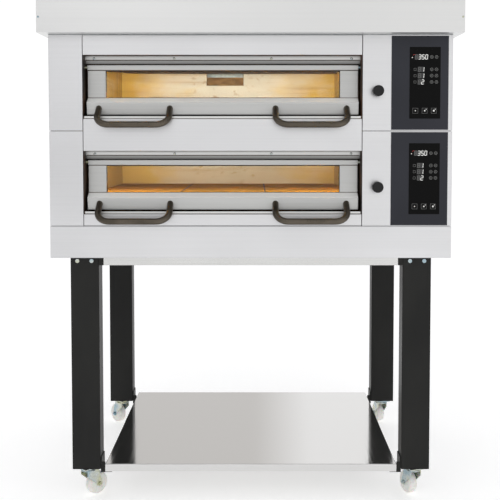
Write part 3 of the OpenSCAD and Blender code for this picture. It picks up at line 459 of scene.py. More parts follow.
def hearth_stone():
    # pressed cordierite slab: matte, open grain of 2 mm, toasted in patches by flour and heat; its beige is tinted
    # orange as painted warm lamp light
    material, tree, shader = new_material("toasted_cordierite_painted_warm_light", colours().stone, 0.9,
                                          Specular_IOR_Level=0.0)
    toast = add(tree, "TexNoise", {"Vector": stretched(tree, 150, 90, 90), "Scale": 1.0, "Detail": 4.0,
                                   "Roughness": 0.6}).outputs["Fac"]
    grain = add(tree, "TexNoise", {"Vector": stretched(tree, 2, 2, 2), "Scale": 1.0, "Detail": 3.0,
                                   "Roughness": 0.7}).outputs["Fac"]
    share = add(tree, "MapRange", {"Value": toast, "From Min": 0.34, "From Max": 0.7}).outputs["Result"]
    tone = add(tree, "Mix", {0: share, 6: hex_colour("#D29A3E"), 7: scaled(colours().stone, 0.75)},
               data_type="RGBA").outputs[2]
    share = add(tree, "MapRange", {"Value": grain, "From Min": 0.45, "From Max": 0.75, "To Min": 0.0,
                                   "To Max": 0.5}).outputs["Result"]
    tone = add(tree, "Mix", {0: share, 6: tone, 7: hex_colour("#7F5A2C")}, data_type="RGBA").outputs[2]
    tree.links.new(tone, shader.inputs["Base Color"])
    normal = add(tree, "Bump", {"Height": grain, "Distance": 0.5 * MM,
                                "Strength": 1.0}).outputs["Normal"]
    tree.links.new(normal, shader.inputs["Normal"])
    return material


def element_steel():
    # oxidised heating rod: dark grey-brown, dull, with a 5 mm mottle
    material, tree, shader = new_material("oxidised_heating_rod", hex_colour("#5B4D43"), 0.55, 0.7)
    mottle = add(tree, "TexNoise", {"Vector": stretched(tree, 5, 5, 5), "Scale": 1.0,
                                    "Detail": 3.0}).outputs["Fac"]
    share = add(tree, "MapRange", {"Value": mottle, "From Min": 0.35,
                                   "From Max": 0.7}).outputs["Result"]
    tone = add(tree, "Mix", {0: share, 6: hex_colour("#4A3F38"), 7: hex_colour("#75655A")},
               data_type="RGBA").outputs[2]
    tree.links.new(tone, shader.inputs["Base Color"])
    return material


def mineral_wool():
    # pressed mineral wool board: pale, fibrous, fibres drawn 3 mm thick to show
    material, tree, shader = new_material("mineral_wool_board", hex_colour("#CFC48F"), 0.95, 0.0,
                                          Sheen_Weight=0.3)
    fibres = add(tree, "TexNoise", {"Vector": stretched(tree, 26, 26, 3), "Scale": 1.0, "Detail": 5.0,
                                    "Roughness": 0.7}).outputs["Fac"]
    share = add(tree, "MapRange", {"Value": fibres, "From Min": 0.35,
                                   "From Max": 0.7}).outputs["Result"]
    tone = add(tree, "Mix", {0: share, 6: hex_colour("#DDD4A6"), 7: hex_colour("#B5A873")},
               data_type="RGBA").outputs[2]
    tree.links.new(tone, shader.inputs["Base Color"])
    normal = add(tree, "Bump", {"Height": fibres, "Distance": 1.2 * MM,
                                "Strength": 1.0}).outputs["Normal"]
    tree.links.new(normal, shader.inputs["Normal"])
    return material


def seal_rope():
    # woven glass-fibre rope: grey braid with a 3 mm pitch
    material, tree, shader = new_material("glass_fibre_rope", hex_colour("#5A5046"), 0.9, 0.0,
                                          Sheen_Weight=0.2)
    braid = add(tree, "TexWave", {"Vector": stretched(tree, 3, 3, 3, (0.6, 0.5, 0.7)), "Scale": 0.5,
                                  "Distortion": 1.0, "Detail": 1.0}).outputs["Fac"]
    tone = add(tree, "Mix", {0: braid, 6: hex_colour("#3A332C"), 7: hex_colour("#7A6E60")},
               data_type="RGBA").outputs[2]
    tree.links.new(tone, shader.inputs["Base Color"])
    normal = add(tree, "Bump", {"Height": braid, "Distance": 0.5 * MM,
                                "Strength": 1.0}).outputs["Normal"]
    tree.links.new(normal, shader.inputs["Normal"])
    return material


def window_glass():
    # tempered soda-lime glass with an anti-reflection coat: clear, little glare, a faint haze of baking
    material, tree, shader = new_material("tempered_window_glass", hex_colour("#FEFEFC"), 0.02, 0.0,
                                          Transmission_Weight=1.0, IOR=1.2)
    haze = add(tree, "TexNoise", {"Vector": stretched(tree, 120, 60, 50), "Scale": 1.0,
                                  "Detail": 3.0}).outputs["Fac"]
    rough = add(tree, "MapRange", {"Value": haze, "From Min": 0.5, "From Max": 0.8, "To Min": 0.0,
                                   "To Max": 0.06}).outputs["Result"]
    tree.links.new(rough, shader.inputs["Roughness"])
    return material


def handle_steel():
    # tube stainless brushed round the tube: long soft highlight; its dark bronze base colour is a painted
    # reflection of dark surroundings
    material, tree, shader = new_material("stainless_tube_painted_dark_reflection", colours().handle, 0.32, 1.0)
    rings = add(tree, "TexNoise", {"Vector": stretched(tree, 3, 60, 60), "Scale": 1.0,
                                   "Detail": 2.0}).outputs["Fac"]
    wear = add(tree, "TexNoise", {"Vector": stretched(tree, 70, 40, 40), "Scale": 1.0,
                                  "Detail": 2.0}).outputs["Fac"]
    share = add(tree, "MapRange", {"Value": wear, "From Min": 0.35, "From Max": 0.7}).outputs["Result"]
    tone = add(tree, "Mix", {0: share, 6: colours().handle, 7: scaled(colours().handle, 0.66)},
               data_type="RGBA").outputs[2]
    tree.links.new(tone, shader.inputs["Base Color"])
    rough = add(tree, "MapRange", {"Value": rings, "From Min": 0.3, "From Max": 0.7, "To Min": 0.26,
                                   "To Max": 0.38}).outputs["Result"]
    tree.links.new(rough, shader.inputs["Roughness"])
    normal = add(tree, "Bump", {"Height": rings, "Distance": 0.03 * MM,
                                "Strength": 1.0}).outputs["Normal"]
    tree.links.new(normal, shader.inputs["Normal"])
    return material


def knob_black():
    # moulded phenolic: black, satin, with a faint 0.8 mm mould grain
    material, tree, shader = new_material("moulded_phenolic", hex_colour("#141415"), 0.38, 0.0,
                                          Specular_IOR_Level=0.3)
    grain = add(tree, "TexNoise", {"Vector": stretched(tree, 0.8, 0.8, 0.8), "Scale": 1.0,
                                   "Detail": 2.0}).outputs["Fac"]
    rough = add(tree, "MapRange", {"Value": grain, "From Min": 0.3, "From Max": 0.7, "To Min": 0.34,
                                   "To Max": 0.46}).outputs["Result"]
    tree.links.new(rough, shader.inputs["Roughness"])
    normal = add(tree, "Bump", {"Height": grain, "Distance": 0.02 * MM,
                                "Strength": 1.0}).outputs["Normal"]
    tree.links.new(normal, shader.inputs["Normal"])
    return material


def panel_charcoal():
    # charcoal lacquer on an aluminium plate: blue-grey satin that lightens softly to one side
    material, tree, shader = new_material("charcoal_lacquer", colours().panel, 0.36, 0.0,
                                          Specular_IOR_Level=0.2)
    drift = add(tree, "TexNoise", {"Vector": stretched(tree, 180, 180, 260), "Scale": 1.0,
                                   "Detail": 1.0}).outputs["Fac"]
    fine = add(tree, "TexNoise", {"Vector": stretched(tree, 0.9, 0.9, 0.9), "Scale": 1.0,
                                  "Detail": 2.0}).outputs["Fac"]
    share = add(tree, "MapRange", {"Value": drift, "From Min": 0.3, "From Max": 0.7}).outputs["Result"]
    tone = add(tree, "Mix", {0: share, 6: colours().panel, 7: scaled(colours().panel, 1.25)},
               data_type="RGBA").outputs[2]
    tree.links.new(tone, shader.inputs["Base Color"])
    normal = add(tree, "Bump", {"Height": fine, "Distance": 0.015 * MM,
                                "Strength": 1.0}).outputs["Normal"]
    tree.links.new(normal, shader.inputs["Normal"])
    return material


def display_black():
    # back-printed acrylic: black and glossy with faint wiping marks
    material, tree, shader = new_material("back_printed_acrylic", hex_colour("#0D0D0D"), 0.08, 0.0,
                                          Specular_IOR_Level=0.06)
    wipes = add(tree, "TexNoise", {"Vector": stretched(tree, 60, 60, 18), "Scale": 1.0,
                                   "Detail": 3.0}).outputs["Fac"]
    rough = add(tree, "MapRange", {"Value": wipes, "From Min": 0.4, "From Max": 0.8, "To Min": 0.06,
                                   "To Max": 0.2}).outputs["Result"]
    tree.links.new(rough, shader.inputs["Roughness"])
    return material


def board_green():
    # solder-masked glass epoxy: green satin with 4 mm copper texture showing through
    material, tree, shader = new_material("solder_masked_board", hex_colour("#1F5A35"), 0.4, 0.0)
    tracks = add(tree, "TexBrick", {"Vector": stretched(tree, 8, 8, 8), "Scale": 1.0,
                                    "Color1": rgba(hex_colour("#1F5A35")),
                                    "Color2": rgba(hex_colour("#236A3E")),
                                    "Mortar": rgba(hex_colour("#3D8A55"))}).outputs["Color"]
    tree.links.new(tracks, shader.inputs["Base Color"])
    return material


def gear_grey():
    # moulded polyamide of electrical parts: grey, matte, fine grain
    material, tree, shader = new_material("moulded_grey_polyamide", hex_colour("#5E6062"), 0.55, 0.0)
    grain = add(tree, "TexNoise", {"Vector": stretched(tree, 1.5, 1.5, 1.5), "Scale": 1.0,
                                   "Detail": 2.0}).outputs["Fac"]
    tone = add(tree, "Mix", {0: grain, 6: hex_colour("#55585A"), 7: hex_colour("#686A6C")},
               data_type="RGBA").outputs[2]
    tree.links.new(tone, shader.inputs["Base Color"])
    normal = add(tree, "Bump", {"Height": grain, "Distance": 0.03 * MM,
                                "Strength": 1.0}).outputs["Normal"]
    tree.links.new(normal, shader.inputs["Normal"])
    return material


def lamp_glass():
    # pressed borosilicate lens lit from behind: warm glow with a ribbed surface of 5 mm
    material, tree, shader = new_material("lit_lamp_lens", hex_colour("#F2DDB0"), 0.25, 0.0,
                                          Emission_Strength=0.35)
    shader.inputs["Emission Color"].default_value = rgba(colours().glow)
    ribs = add(tree, "TexWave", {"Vector": stretched(tree, 5, 5, 5), "Scale": 0.5}).outputs["Fac"]
    normal = add(tree, "Bump", {"Height": ribs, "Distance": 0.6 * MM,
                                "Strength": 1.0}).outputs["Normal"]
    tree.links.new(normal, shader.inputs["Normal"])
    return material


FINISHES = {
    "casing_steel": casing_steel, "hood_steel": hood_steel, "door_steel": door_steel,
    "shelf_steel": shelf_steel, "rail_steel": rail_steel, "trim_steel": trim_steel,
    "duct_steel": duct_steel, "leg_black": leg_black, "zinc": zinc, "nylon": nylon,
    "recess_dark": recess_dark, "chamber_steel": chamber_steel, "hearth_stone": hearth_stone,
    "element_steel": element_steel, "mineral_wool": mineral_wool, "seal_rope": seal_rope,
    "window_glass": window_glass, "handle_steel": handle_steel, "knob_black": knob_black,
    "panel_charcoal": panel_charcoal, "display_black": display_black, "board_green": board_green,
    "gear_grey": gear_grey, "lamp_glass": lamp_glass,
}
SLOTS = {part["node"]: part["material_slot"] for part in frame["record"]["subparts"]}
finished = {}


def finish_of(slot):
    if slot not in finished:
        finished[slot] = FINISHES[slot]()
    return finished[slot]


def gasket():
    # silicone rubber browned by baking: matte, dark brown, with soot in streaks 12 mm long and 3 mm high
    # the same finish colours dark strips that are painted shadow lines at the door joints and in the fold over
    # each door
    if "gasket" not in finished:
        material, tree, shader = new_material("baked_silicone_rubber_and_painted_shadow", hex_colour("#33261A"), 0.7,
                                              Specular_IOR_Level=0.3)
        soot = add(tree, "TexNoise", {"Vector": stretched(tree, 12, 12, 3), "Scale": 1.0,
                                      "Detail": 3.0}).outputs["Fac"]
        share = add(tree, "MapRange", {"Value": soot, "From Min": 0.35,
                                       "From Max": 0.7}).outputs["Result"]
        tone = add(tree, "Mix", {0: share, 6: hex_colour("#4A3522"), 7: hex_colour("#221A13")},
                   data_type="RGBA").outputs[2]
        tree.links.new(tone, shader.inputs["Base Color"])
        normal = add(tree, "Bump", {"Height": soot, "Distance": 0.1 * MM,
                                    "Strength": 1.0}).outputs["Normal"]
        tree.links.new(normal, shader.inputs["Normal"])
        finished["gasket"] = material
    return finished["gasket"]


def scorched_baffle():
    # mild steel in the vent after many firings: brown scale with darker runs
    material, tree, shader = new_material("scorched_vent_steel", hex_colour("#9C7A4C"), 0.6, 0.3)
    runs = add(tree, "TexNoise", {"Vector": stretched(tree, 34, 40, 12), "Scale": 1.0, "Detail": 3.0,
                                  "Roughness": 0.6}).outputs["Fac"]
    share = add(tree, "MapRange", {"Value": runs, "From Min": 0.35, "From Max": 0.68}).outputs["Result"]
    tone = add(tree, "Mix", {0: share, 6: hex_colour("#B08C58"), 7: hex_colour("#7A5A33")},
               data_type="RGBA").outputs[2]
    tree.links.new(tone, shader.inputs["Base Color"])
    normal = add(tree, "Bump", {"Height": runs, "Distance": 0.1 * MM,
                                "Strength": 1.0}).outputs["Normal"]
    tree.links.new(normal, shader.inputs["Normal"])
    return material


def plain_light(name, text, glow):
    """Printed or lit marking on the display."""
    key = "marking_" + name
    if key not in finished:
        # back-lit ink under acrylic: even, slightly glowing, with a faint dot screen of 1 mm
        material, tree, shader = new_material(key, hex_colour(text), 0.5, 0.0, Emission_Strength=glow)
        dots = add(tree, "TexNoise", {"Vector": stretched(tree, 1, 1, 1), "Scale": 1.0,
                                      "Detail": 1.0}).outputs["Fac"]
        share = add(tree, "MapRange", {"Value": dots, "From Min": 0.3, "From Max": 0.7, "To Min": 0.0,
                                       "To Max": 0.25}).outputs["Result"]
        tone = add(tree, "Mix", {0: share, 6: hex_colour(text), 7: scaled(hex_colour(text), 0.8)},
                   data_type="RGBA").outputs[2]
        tree.links.new(tone, shader.inputs["Base Color"])
        tree.links.new(tone, shader.inputs["Emission Color"])
        finished[key] = material
    return finished[key]


# ---- mesh helpers ----

def publish(name, mesh_data, material, body, smooth=False):
    """Turns a bmesh into a piece that rides on a body."""
    mesh = bpy.data.meshes.new(name)
    mesh_data.normal_update()
    mesh_data.to_mesh(mesh)
    mesh_data.free()
    mesh.materials.append(material)
    if smooth:
        for face in mesh.polygons:
            face.use_smooth = True
        mesh.set_sharp_from_angle(angle=math.radians(35))
    piece = bpy.data.objects.new(name, mesh)
    bpy.context.scene.collection.objects.link(piece)
    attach(piece, body)
    return piece


def put_lathe(bm, profile, centre, axis, steps=SPIN):
    """A turned solid: profile holds (radius, distance along the axis) from one pole to the other."""
    axis = Vector(axis).normalized()
    side = axis.orthogonal().normalized()
    other = axis.cross(side)
    rings = []
    for radius, along in profile:
        if radius < 1e-7:
            rings.append([bm.verts.new(Vector(centre) + axis * along)])
            continue
        rings.append([bm.verts.new(Vector(centre) + axis * along
                                   + (side * math.cos(a) + other * math.sin(a)) * radius)
                      for a in (2 * math.pi * k / steps for k in range(steps))])
    for low, high in zip(rings, rings[1:]):
        for k in range(steps):
            j = (k + 1) % steps
            corners = [low[k % len(low)], low[j % len(low)], high[j % len(high)], high[k % len(high)]]
            corners = list(dict.fromkeys(corners))
            if len(corners) > 2:
                bm.faces.new(corners)


def put_plate(bm, outline, y_front, y_back):
    """A flat plate in the XZ plane from an outline that runs round once."""
    front = [bm.verts.new((x, y_front, z)) for x, z in outline]
    back = [bm.verts.new((x, y_back, z)) for x, z in outline]
    bm.faces.new(front)
    bm.faces.new(list(reversed(back)))
    count = len(outline)
    for k in range(count):
        j = (k + 1) % count
        bm.faces.new([front[j], front[k], back[k], back[j]])


SEGMENTS = {"0": "abcdef", "1": "bc", "2": "abged", "3": "abgcd", "5": "afgcd", "8": "abcdefg"}


def segment_outlines(x, z, height, names):
    """Outlines of a slanted seven-segment digit with its lower left corner at x and z."""
    width, bar, slant = height * 0.5, height * 0.11, 0.1
    half = height / 2
    spans = {
        "a": ((0, height), (width, height)), "b": ((width, height), (width, half)),
        "c": ((width, half), (width, 0)), "d": ((0, 0), (width, 0)),
        "e": ((0, half), (0, 0)), "f": ((0, height), (0, half)), "g": ((0, half), (width, half)),
    }
    for name in names:
        (x0, z0), (x1, z1) = spans[name]
        along = Vector((x1 - x0, z1 - z0)).normalized()
        across = Vector((-along.y, along.x)) * bar / 2
        start = Vector((x0, z0)) + along * bar * 0.62
        end = Vector((x1, z1)) - along * bar * 0.62
        corners = [start - along * bar / 2, start - across, end - across, end + along * bar / 2,
                   end + across, start + across]
        yield [(x + c.x + slant * c.y, z + c.y) for c in corners]


def ring_outlines(x, z, outer, inner, sides, turn=0.0):
    """Quads that together make a flat ring with that many sides."""
    for k in range(sides):
        a, b = (2 * math.pi * j / sides + turn for j in (k, k + 1))
        yield [(x + r * math.cos(t), z + r * math.sin(t)) for r, t in
               ((outer, a), (outer, b), (inner, b), (inner, a))]


def box_outline(x0, z0, x1, z1):
    return [(x0, z0), (x1, z0), (x1, z1), (x0, z1)]


def disc_outline(x, z, radius, sides=14):
    return [(x + radius * math.cos(2 * math.pi * k / sides),
             z + radius * math.sin(2 * math.pi * k / sides)) for k in range(sides)]


def screw_head(bm, centre, axis, diameter, steps=20):
    """A pan head screw with a hexagon socket, standing 0.35 of its diameter proud."""
    r = diameter / 2
    profile = [(0, 0), (r, 0), (r, 0.25 * r)]
    profile += [(r * math.cos(a), r * (0.25 + 0.45 * math.sin(a))) for a in (0.35, 0.7, 1.05)]
    profile += [(0.42 * r, 0.69 * r), (0.4 * r, 0.35 * r), (0, 0.3 * r)]
    put_lathe(bm, profile, centre, axis, steps)


def cleaned(node):
    """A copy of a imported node's mesh with its flat faces whole and its corners joined."""
    bm = bmesh.new()
    bm.from_mesh(frame["nodes"][node].data)
    bmesh.ops.remove_doubles(bm, verts=bm.verts, dist=2e-6)
    bmesh.ops.dissolve_limit(bm, angle_limit=math.radians(0.5), verts=bm.verts, edges=bm.edges)
    return bm


def is_folded_corner(edge):
    """A long outer corner between two faces that are wider than the sheet's thickness."""
    if len(edge.link_faces) != 2 or edge.calc_length() < SHORT_EDGE * MM or not edge.is_convex:
        return False
    widths = [2 * face.calc_area() / face.calc_perimeter() for face in edge.link_faces]
    return edge.calc_face_angle(0) > SHARP_TURN and min(widths) > SHEET_T * MM


def soften(node, radius_mm, body="oven", segments=3):
    """Stands for a node of folded sheet with its outer corners rounded."""
    bm = cleaned(node)
    rounded = bmesh.ops.bevel(bm, geom=[e for e in bm.edges if is_folded_corner(e)],
                              offset=radius_mm * MM, segments=segments, profile=0.5,
                              affect="EDGES", clamp_overlap=True)
    for face in rounded["faces"]:
        face.smooth = True
    slot = SLOTS[node]
    piece = publish(node + "_folded", bm, finish_of(slot), body)
    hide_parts(node)
    return piece


# ---- operators ----

class OVEN_OT_finish_nodes(bpy.types.Operator):
    """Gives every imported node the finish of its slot"""
    bl_idname = "oven.finish_nodes"
    bl_label = "Finish packed nodes"

    def execute(self, context):
        for node, slot in SLOTS.items():
            holder = frame["nodes"][node]
            holder.data.materials.clear()
            holder.data.materials.append(finish_of(slot))
        return {"FINISHED"}


class OVEN_OT_folded_sheets(bpy.types.Operator):
    """Rounds the folded corners of the sheet metal parts"""
    bl_idname = "oven.folded_sheets"
    bl_label = "Folded sheets"

    def execute(self, context):
        fold = sizes().fold_r / MM
        for node, share in (("hood", 1.0), ("plinth", 0.8), ("legs_front", 0.9), ("legs_rear", 0.9),
                            ("lower_shelf", 0.8), ("crossbars", 0.6), ("fascia_top", 0.6),
                            ("fascia_middle", 0.6), ("fascia_bottom", 0.6), ("left_columns", 0.6),
                            ("right_columns", 0.6), ("roof_cover", 0.2)):
            soften(node, fold * share)
        for deck in DECKS:
            soften(deck + "_door_frame", fold * 0.5, deck + "_door")
            soften(deck + "_control_panel", fold * 0.25)
            soften(deck + "_display", fold * 0.15)
        return {"FINISHED"}


class OVEN_OT_casing_screws(bpy.types.Operator):
    """Sets the screws and rivets of the casing"""
    bl_idname = "oven.casing_screws"
    bl_label = "Casing screws"

    def execute(self, context):
        head = sizes().screw_d
        low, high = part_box("side_panel_left")
        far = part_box("side_panel_right")[1].x
        bm = bmesh.new()
        for x, outward in ((low.x, -1), (far, 1)):
            for row in range(SIDE_ROWS):
                z = low.z + (SIDE_FIRST + row * SIDE_PITCH) * MM
                for y in (low.y + SIDE_EDGE * MM, high.y - SIDE_EDGE * MM):
                    screw_head(bm, (x, y, z), (outward, 0, 0), head)
        publish("side_panel_screws", bm, finish_of("zinc"), "oven", smooth=True)
        low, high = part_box("back_panel")
        bm = bmesh.new()
        span = high.x - low.x - 2 * BACK_END * MM
        for k in range(BACK_COUNT):
            x = low.x + BACK_END * MM + k * span / (BACK_COUNT - 1)
            for z in (low.z + BACK_EDGE * MM, high.z - BACK_EDGE * MM):
                screw_head(bm, (x, high.y, z), (0, 1, 0), head)
        publish("back_panel_screws", bm, finish_of("zinc"), "oven", smooth=True)
        low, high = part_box("hood")
        bm = bmesh.new()
        for x in (low.x + HOOD_RIVET_IN * MM, high.x - HOOD_RIVET_IN * MM):
            screw_head(bm, (x, low.y, high.z - HOOD_RIVET_DOWN * MM), (0, -1, 0), sizes().rivet_d)
        publish("hood_rivets", bm, finish_of("zinc"), "oven", smooth=True)
        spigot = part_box("flue_spigot")
        centre = (spigot[0] + spigot[1]) / 2
        reach = (spigot[1].x - spigot[0].x) / 2 - FLANGE_EDGE * MM
        bm = bmesh.new()
        for k in range(SPIGOT_RIVETS):
            turn = 2 * math.pi * (k + 0.5) / SPIGOT_RIVETS
            screw_head(bm, (centre.x + reach * math.cos(turn), centre.y + reach * math.sin(turn),
                            high.z + FLANGE_T), (0, 0, 1), sizes().rivet_d)
        publish("spigot_rivets", bm, finish_of("zinc"), "oven", smooth=True)
        return {"FINISHED"}


class OVEN_OT_recess_screws(bpy.types.Operator):
    """Sets the four screws on the strip over each door"""
    bl_idname = "oven.recess_screws"
    bl_label = "Recess screws"

    def execute(self, context):
        strip = FRONT + STRIP_SETBACK * MM
        for deck in DECKS:
            low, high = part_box(deck + "_door_frame")
            middle = (low.x + high.x) / 2
            outer = (high.x - low.x) / 2 - SCREW_EDGE * MM
            inner = INNER_SCREW * MM
            bm = bmesh.new()
            for dx in (-outer, -inner, inner, outer):
                place = (middle + dx, strip, high.z + SCREW_RISE * MM)
                screw_head(bm, place, (0, -1, 0), sizes().screw_d)
            publish(deck + "_recess_screws", bm, finish_of("zinc"), "oven", smooth=True)
        return {"FINISHED"}


class OVEN_OT_door_details(bpy.types.Operator):
    """Adds the glazing gaskets, and dark strips as painted shadow lines at the joints of the door frames and in
    the fold over each door
    """
    bl_idname = "oven.door_details"
    bl_label = "Door details"

    def execute(self, context):
        for deck in DECKS:
            low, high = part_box(deck + "_door_frame")
            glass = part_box(deck + "_door_glass")
            stile = FRONT + STILE_SETBACK * MM
            x0, x1 = low.x + STILE_W * MM, high.x - STILE_W * MM
            z0, z1 = low.z + LOW_RAIL_H * MM, high.z - TOP_RAIL_H * MM
            line = 1.6 * MM
            body = deck + "_door"
            bm = bmesh.new()
            front, back = glass[0].y - 1.2 * MM, glass[0].y + 0.1 * MM
            for box in ((x0, z1 - 3.2 * MM, x1, z1), (x0, z0, x1, z0 + 2 * MM),
                        (x0, z0, x0 + 2 * MM, z1), (x1 - 2 * MM, z0, x1, z1)):
                put_plate(bm, box_outline(*box), front, back)
            publish(deck + "_glazing_gasket", bm, gasket(), body)
            # painted shadow lines: dark strips on the stiles under the top rail and above the bottom rail
            bm = bmesh.new()
            for left, right in ((low.x, x0), (x1, high.x)):
                for z in (z1 - line, z0):
                    put_plate(bm, box_outline(left, z, right, z + line), stile - 0.3 * MM,
                              stile + 0.2 * MM)
            publish(deck + "_door_painted_shadow_lines", bm, gasket(), body)
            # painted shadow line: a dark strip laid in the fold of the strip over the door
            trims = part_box("recess_trims")
            strip = FRONT + STRIP_SETBACK * MM
            fold = high.z + (SCREW_RISE - 5) * MM
            bm = bmesh.new()
            put_plate(bm, box_outline(trims[0].x + 2 * MM, fold - 1.2 * MM, trims[1].x - 2 * MM,
                                      fold + 1.2 * MM), strip - 0.4 * MM, strip + 0.3 * MM)
            publish(deck + "_fold_painted_shadow", bm, gasket(), "oven")
        return {"FINISHED"}


class OVEN_OT_caster_details(bpy.types.Operator):
    """Adds the domed axle ends and the race cover of each caster"""
    bl_idname = "oven.caster_details"
    bl_label = "Caster details"

    def execute(self, context):
        joints = {joint["name"]: joint for joint in frame["joints"]}
        for corner in CASTERS:
            roll = joints["caster_roll_" + corner]
            axle, centre = Vector(roll["axis"]).normalized(), Vector(roll["pos_m"])
            bm = bmesh.new()
            for side in (-1, 1):
                screw_head(bm, centre + axle * side * AXLE_REACH * MM, axle * side, AXLE_CAP * MM)
            publish("caster_axle_ends_" + corner, bm, finish_of("zinc"), "caster_fork_" + corner)
            swivel = Vector(joints["caster_swivel_" + corner]["pos_m"])
            bm = bmesh.new()
            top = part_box("caster_fork_" + corner)[1].z
            ring = [(25.5, -4.6), (26.8, -4.2), (27.4, -2.6), (26.8, -1.0), (25.5, -0.6), (25.5, -4.6)]
            put_lathe(bm, [(r * MM, h * MM) for r, h in ring], (swivel.x, swivel.y, top), (0, 0, 1))
            publish("caster_race_" + corner, bm, finish_of("zinc"), "caster_fork_" + corner,
                    smooth=True)
        return {"FINISHED"}


class OVEN_OT_hearth_joints(bpy.types.Operator):
    """Fills the joints between the hearth stones with charred flour"""
    bl_idname = "oven.hearth_joints"
    bl_label = "Hearth joints"

    def execute(self, context):
        for deck in DECKS:
            low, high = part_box(deck + "_stones")
            bm = bmesh.new()
            for k in (1, 2):
                x = low.x + (high.x - low.x) * k / 3
                put_plate(bm, box_outline(x - 2.5 * MM, high.z - 0.5 * MM, x + 2.5 * MM,
                                          high.z + 0.8 * MM), low.y + 2 * MM, high.y - 2 * MM)
            # charred flour is the same matte dark brown as the browned gaskets
            publish(deck + "_hearth_joints", bm, gasket(), "oven")
        return {"FINISHED"}


class OVEN_OT_vent_baffles(bpy.types.Operator):
    """Sets a folded baffle in the lower part of each chamber vent"""
    bl_idname = "oven.vent_baffles"
    bl_label = "Vent baffles"

    def execute(self, context):
        material = scorched_baffle()
        for deck in DECKS:
            low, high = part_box(deck + "_chamber")
            middle = (low.x + high.x) / 2 - VENT_SHIFT * MM
            top = high.z - VENT_DROP * MM
            bottom = top - VENT_H * MM
            x0, x1 = middle - VENT_W / 2 * MM, middle + VENT_W / 2 * MM
            wall = high.y
            bm = bmesh.new()
            put_plate(bm, box_outline(x0 + 1 * MM, bottom + 1 * MM, x1 - 1 * MM,
                                      bottom + BAFFLE_H * MM), wall + 4 * MM, wall + 5.2 * MM)
            for box in ((x0 + 0.5 * MM, bottom + 0.5 * MM, x0 + 2.5 * MM, top - 1 * MM),
                        (x1 - 2.5 * MM, bottom + 0.5 * MM, x1 - 0.5 * MM, top - 1 * MM),
                        (x0 + 2.5 * MM, bottom + 0.5 * MM, x1 - 2.5 * MM, bottom + 2.5 * MM)):
                put_plate(bm, box_outline(*box), wall - 0.8 * MM, wall + 5.2 * MM)
            publish(deck + "_vent_baffle", bm, material, "oven")
        return {"FINISHED"}


class OVEN_OT_display_marks(bpy.types.Operator):
    """Prints the digits, icons and keys on both display glasses"""
    bl_idname = "oven.display_marks"
    bl_label = "Display markings"

    def execute(self, context):
        digit_h = sizes().digit_h
        for deck in DECKS:
            low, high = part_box(deck + "_display")
            face = low.y
            layers = {"lit": [], "dim": [], "icon": [], "red": [], "key": [], "window": []}
            left, top = low.x, high.z

            def place(dx, dz):
                return left + dx * MM, top - dz * MM

            def digits(dx, dz, text):
                # unlit eight first, then the lit digits, on a greyish window
                x, z = place(dx, dz + digit_h / MM / 2)
                step = DIGIT_PITCH * MM
                layers["window"] += [box_outline(x - 1.5 * MM, z - 1.5 * MM,
                                                 x + len(text) * step + 10 * MM,
                                                 z + digit_h + 1.5 * MM)]
                layers["dim"] += segment_outlines(x, z, digit_h, SEGMENTS["8"])
                for k, digit in enumerate(text):
                    layers["lit"] += segment_outlines(x + (k + 1) * step, z, digit_h, SEGMENTS[digit])

            def round_icon(dx, dz):
                cx, cz = place(dx, dz)
                layers["icon"] += ring_outlines(cx, cz, 5.6 * MM, 4.5 * MM, 20)
                layers["icon"] += ring_outlines(cx, cz, 2.2 * MM, 1.4 * MM, 10)

            digits(18.5, 34, "350")
            layers["lit"].append(disc_outline(*place(8.5, 36), 1.5 * MM))
            arc_x, arc_z = place(17, 27)
            layers["red"] += list(ring_outlines(arc_x, arc_z - 5 * MM, 7 * MM, 5.8 * MM, 24))[5:10]
            rows = (76.5, 98, 119.5)
            for dz in (34, *rows):
                round_icon(75.5, dz)
                round_icon(92, dz)
            for dz, digit in zip(rows, "112"):
                cx, cz = place(18.5, dz)
                layers["icon"] += ring_outlines(cx, cz, 6 * MM, 5 * MM, 4, math.pi / 4)
                digits(29, dz, digit)
            # three keys at the foot
            for k, dx in enumerate((20.5, 52.5, 84)):
                cx, cz = place(dx, 218)
                layers["icon"] += ring_outlines(cx, cz, 13 * MM, 12 * MM, 4, math.pi / 4)
                layers["key"].append(disc_outline(cx, cz, (2 + 0.6 * k) * MM))
                if k:
                    layers["key"].append(disc_outline(cx + 5 * MM, cz + 5 * MM, 1.5 * MM))
            inks = {"lit": plain_light("lit", "#DCDCD8", 0.55),
                    "dim": plain_light("dim", "#5A5A58", 0.05),
                    "icon": plain_light("icon", "#757573", 0.05),
                    "red": plain_light("red", "#9A2A22", 0.3),
                    "key": plain_light("key", "#C9C9C6", 0.3),
                    "window": plain_light("window", "#2E2E2E", 0.02)}
            for name, outlines in layers.items():
                bm = bmesh.new()
                proud = 0.12 if name == "window" else 0.25
                for outline in outlines:
                    put_plate(bm, outline, face - proud * MM, face + 0.05 * MM)
                bmesh.ops.recalc_face_normals(bm, faces=bm.faces)
                publish(f"{deck}_display_{name}", bm, inks[name], "oven")
        return {"FINISHED"}


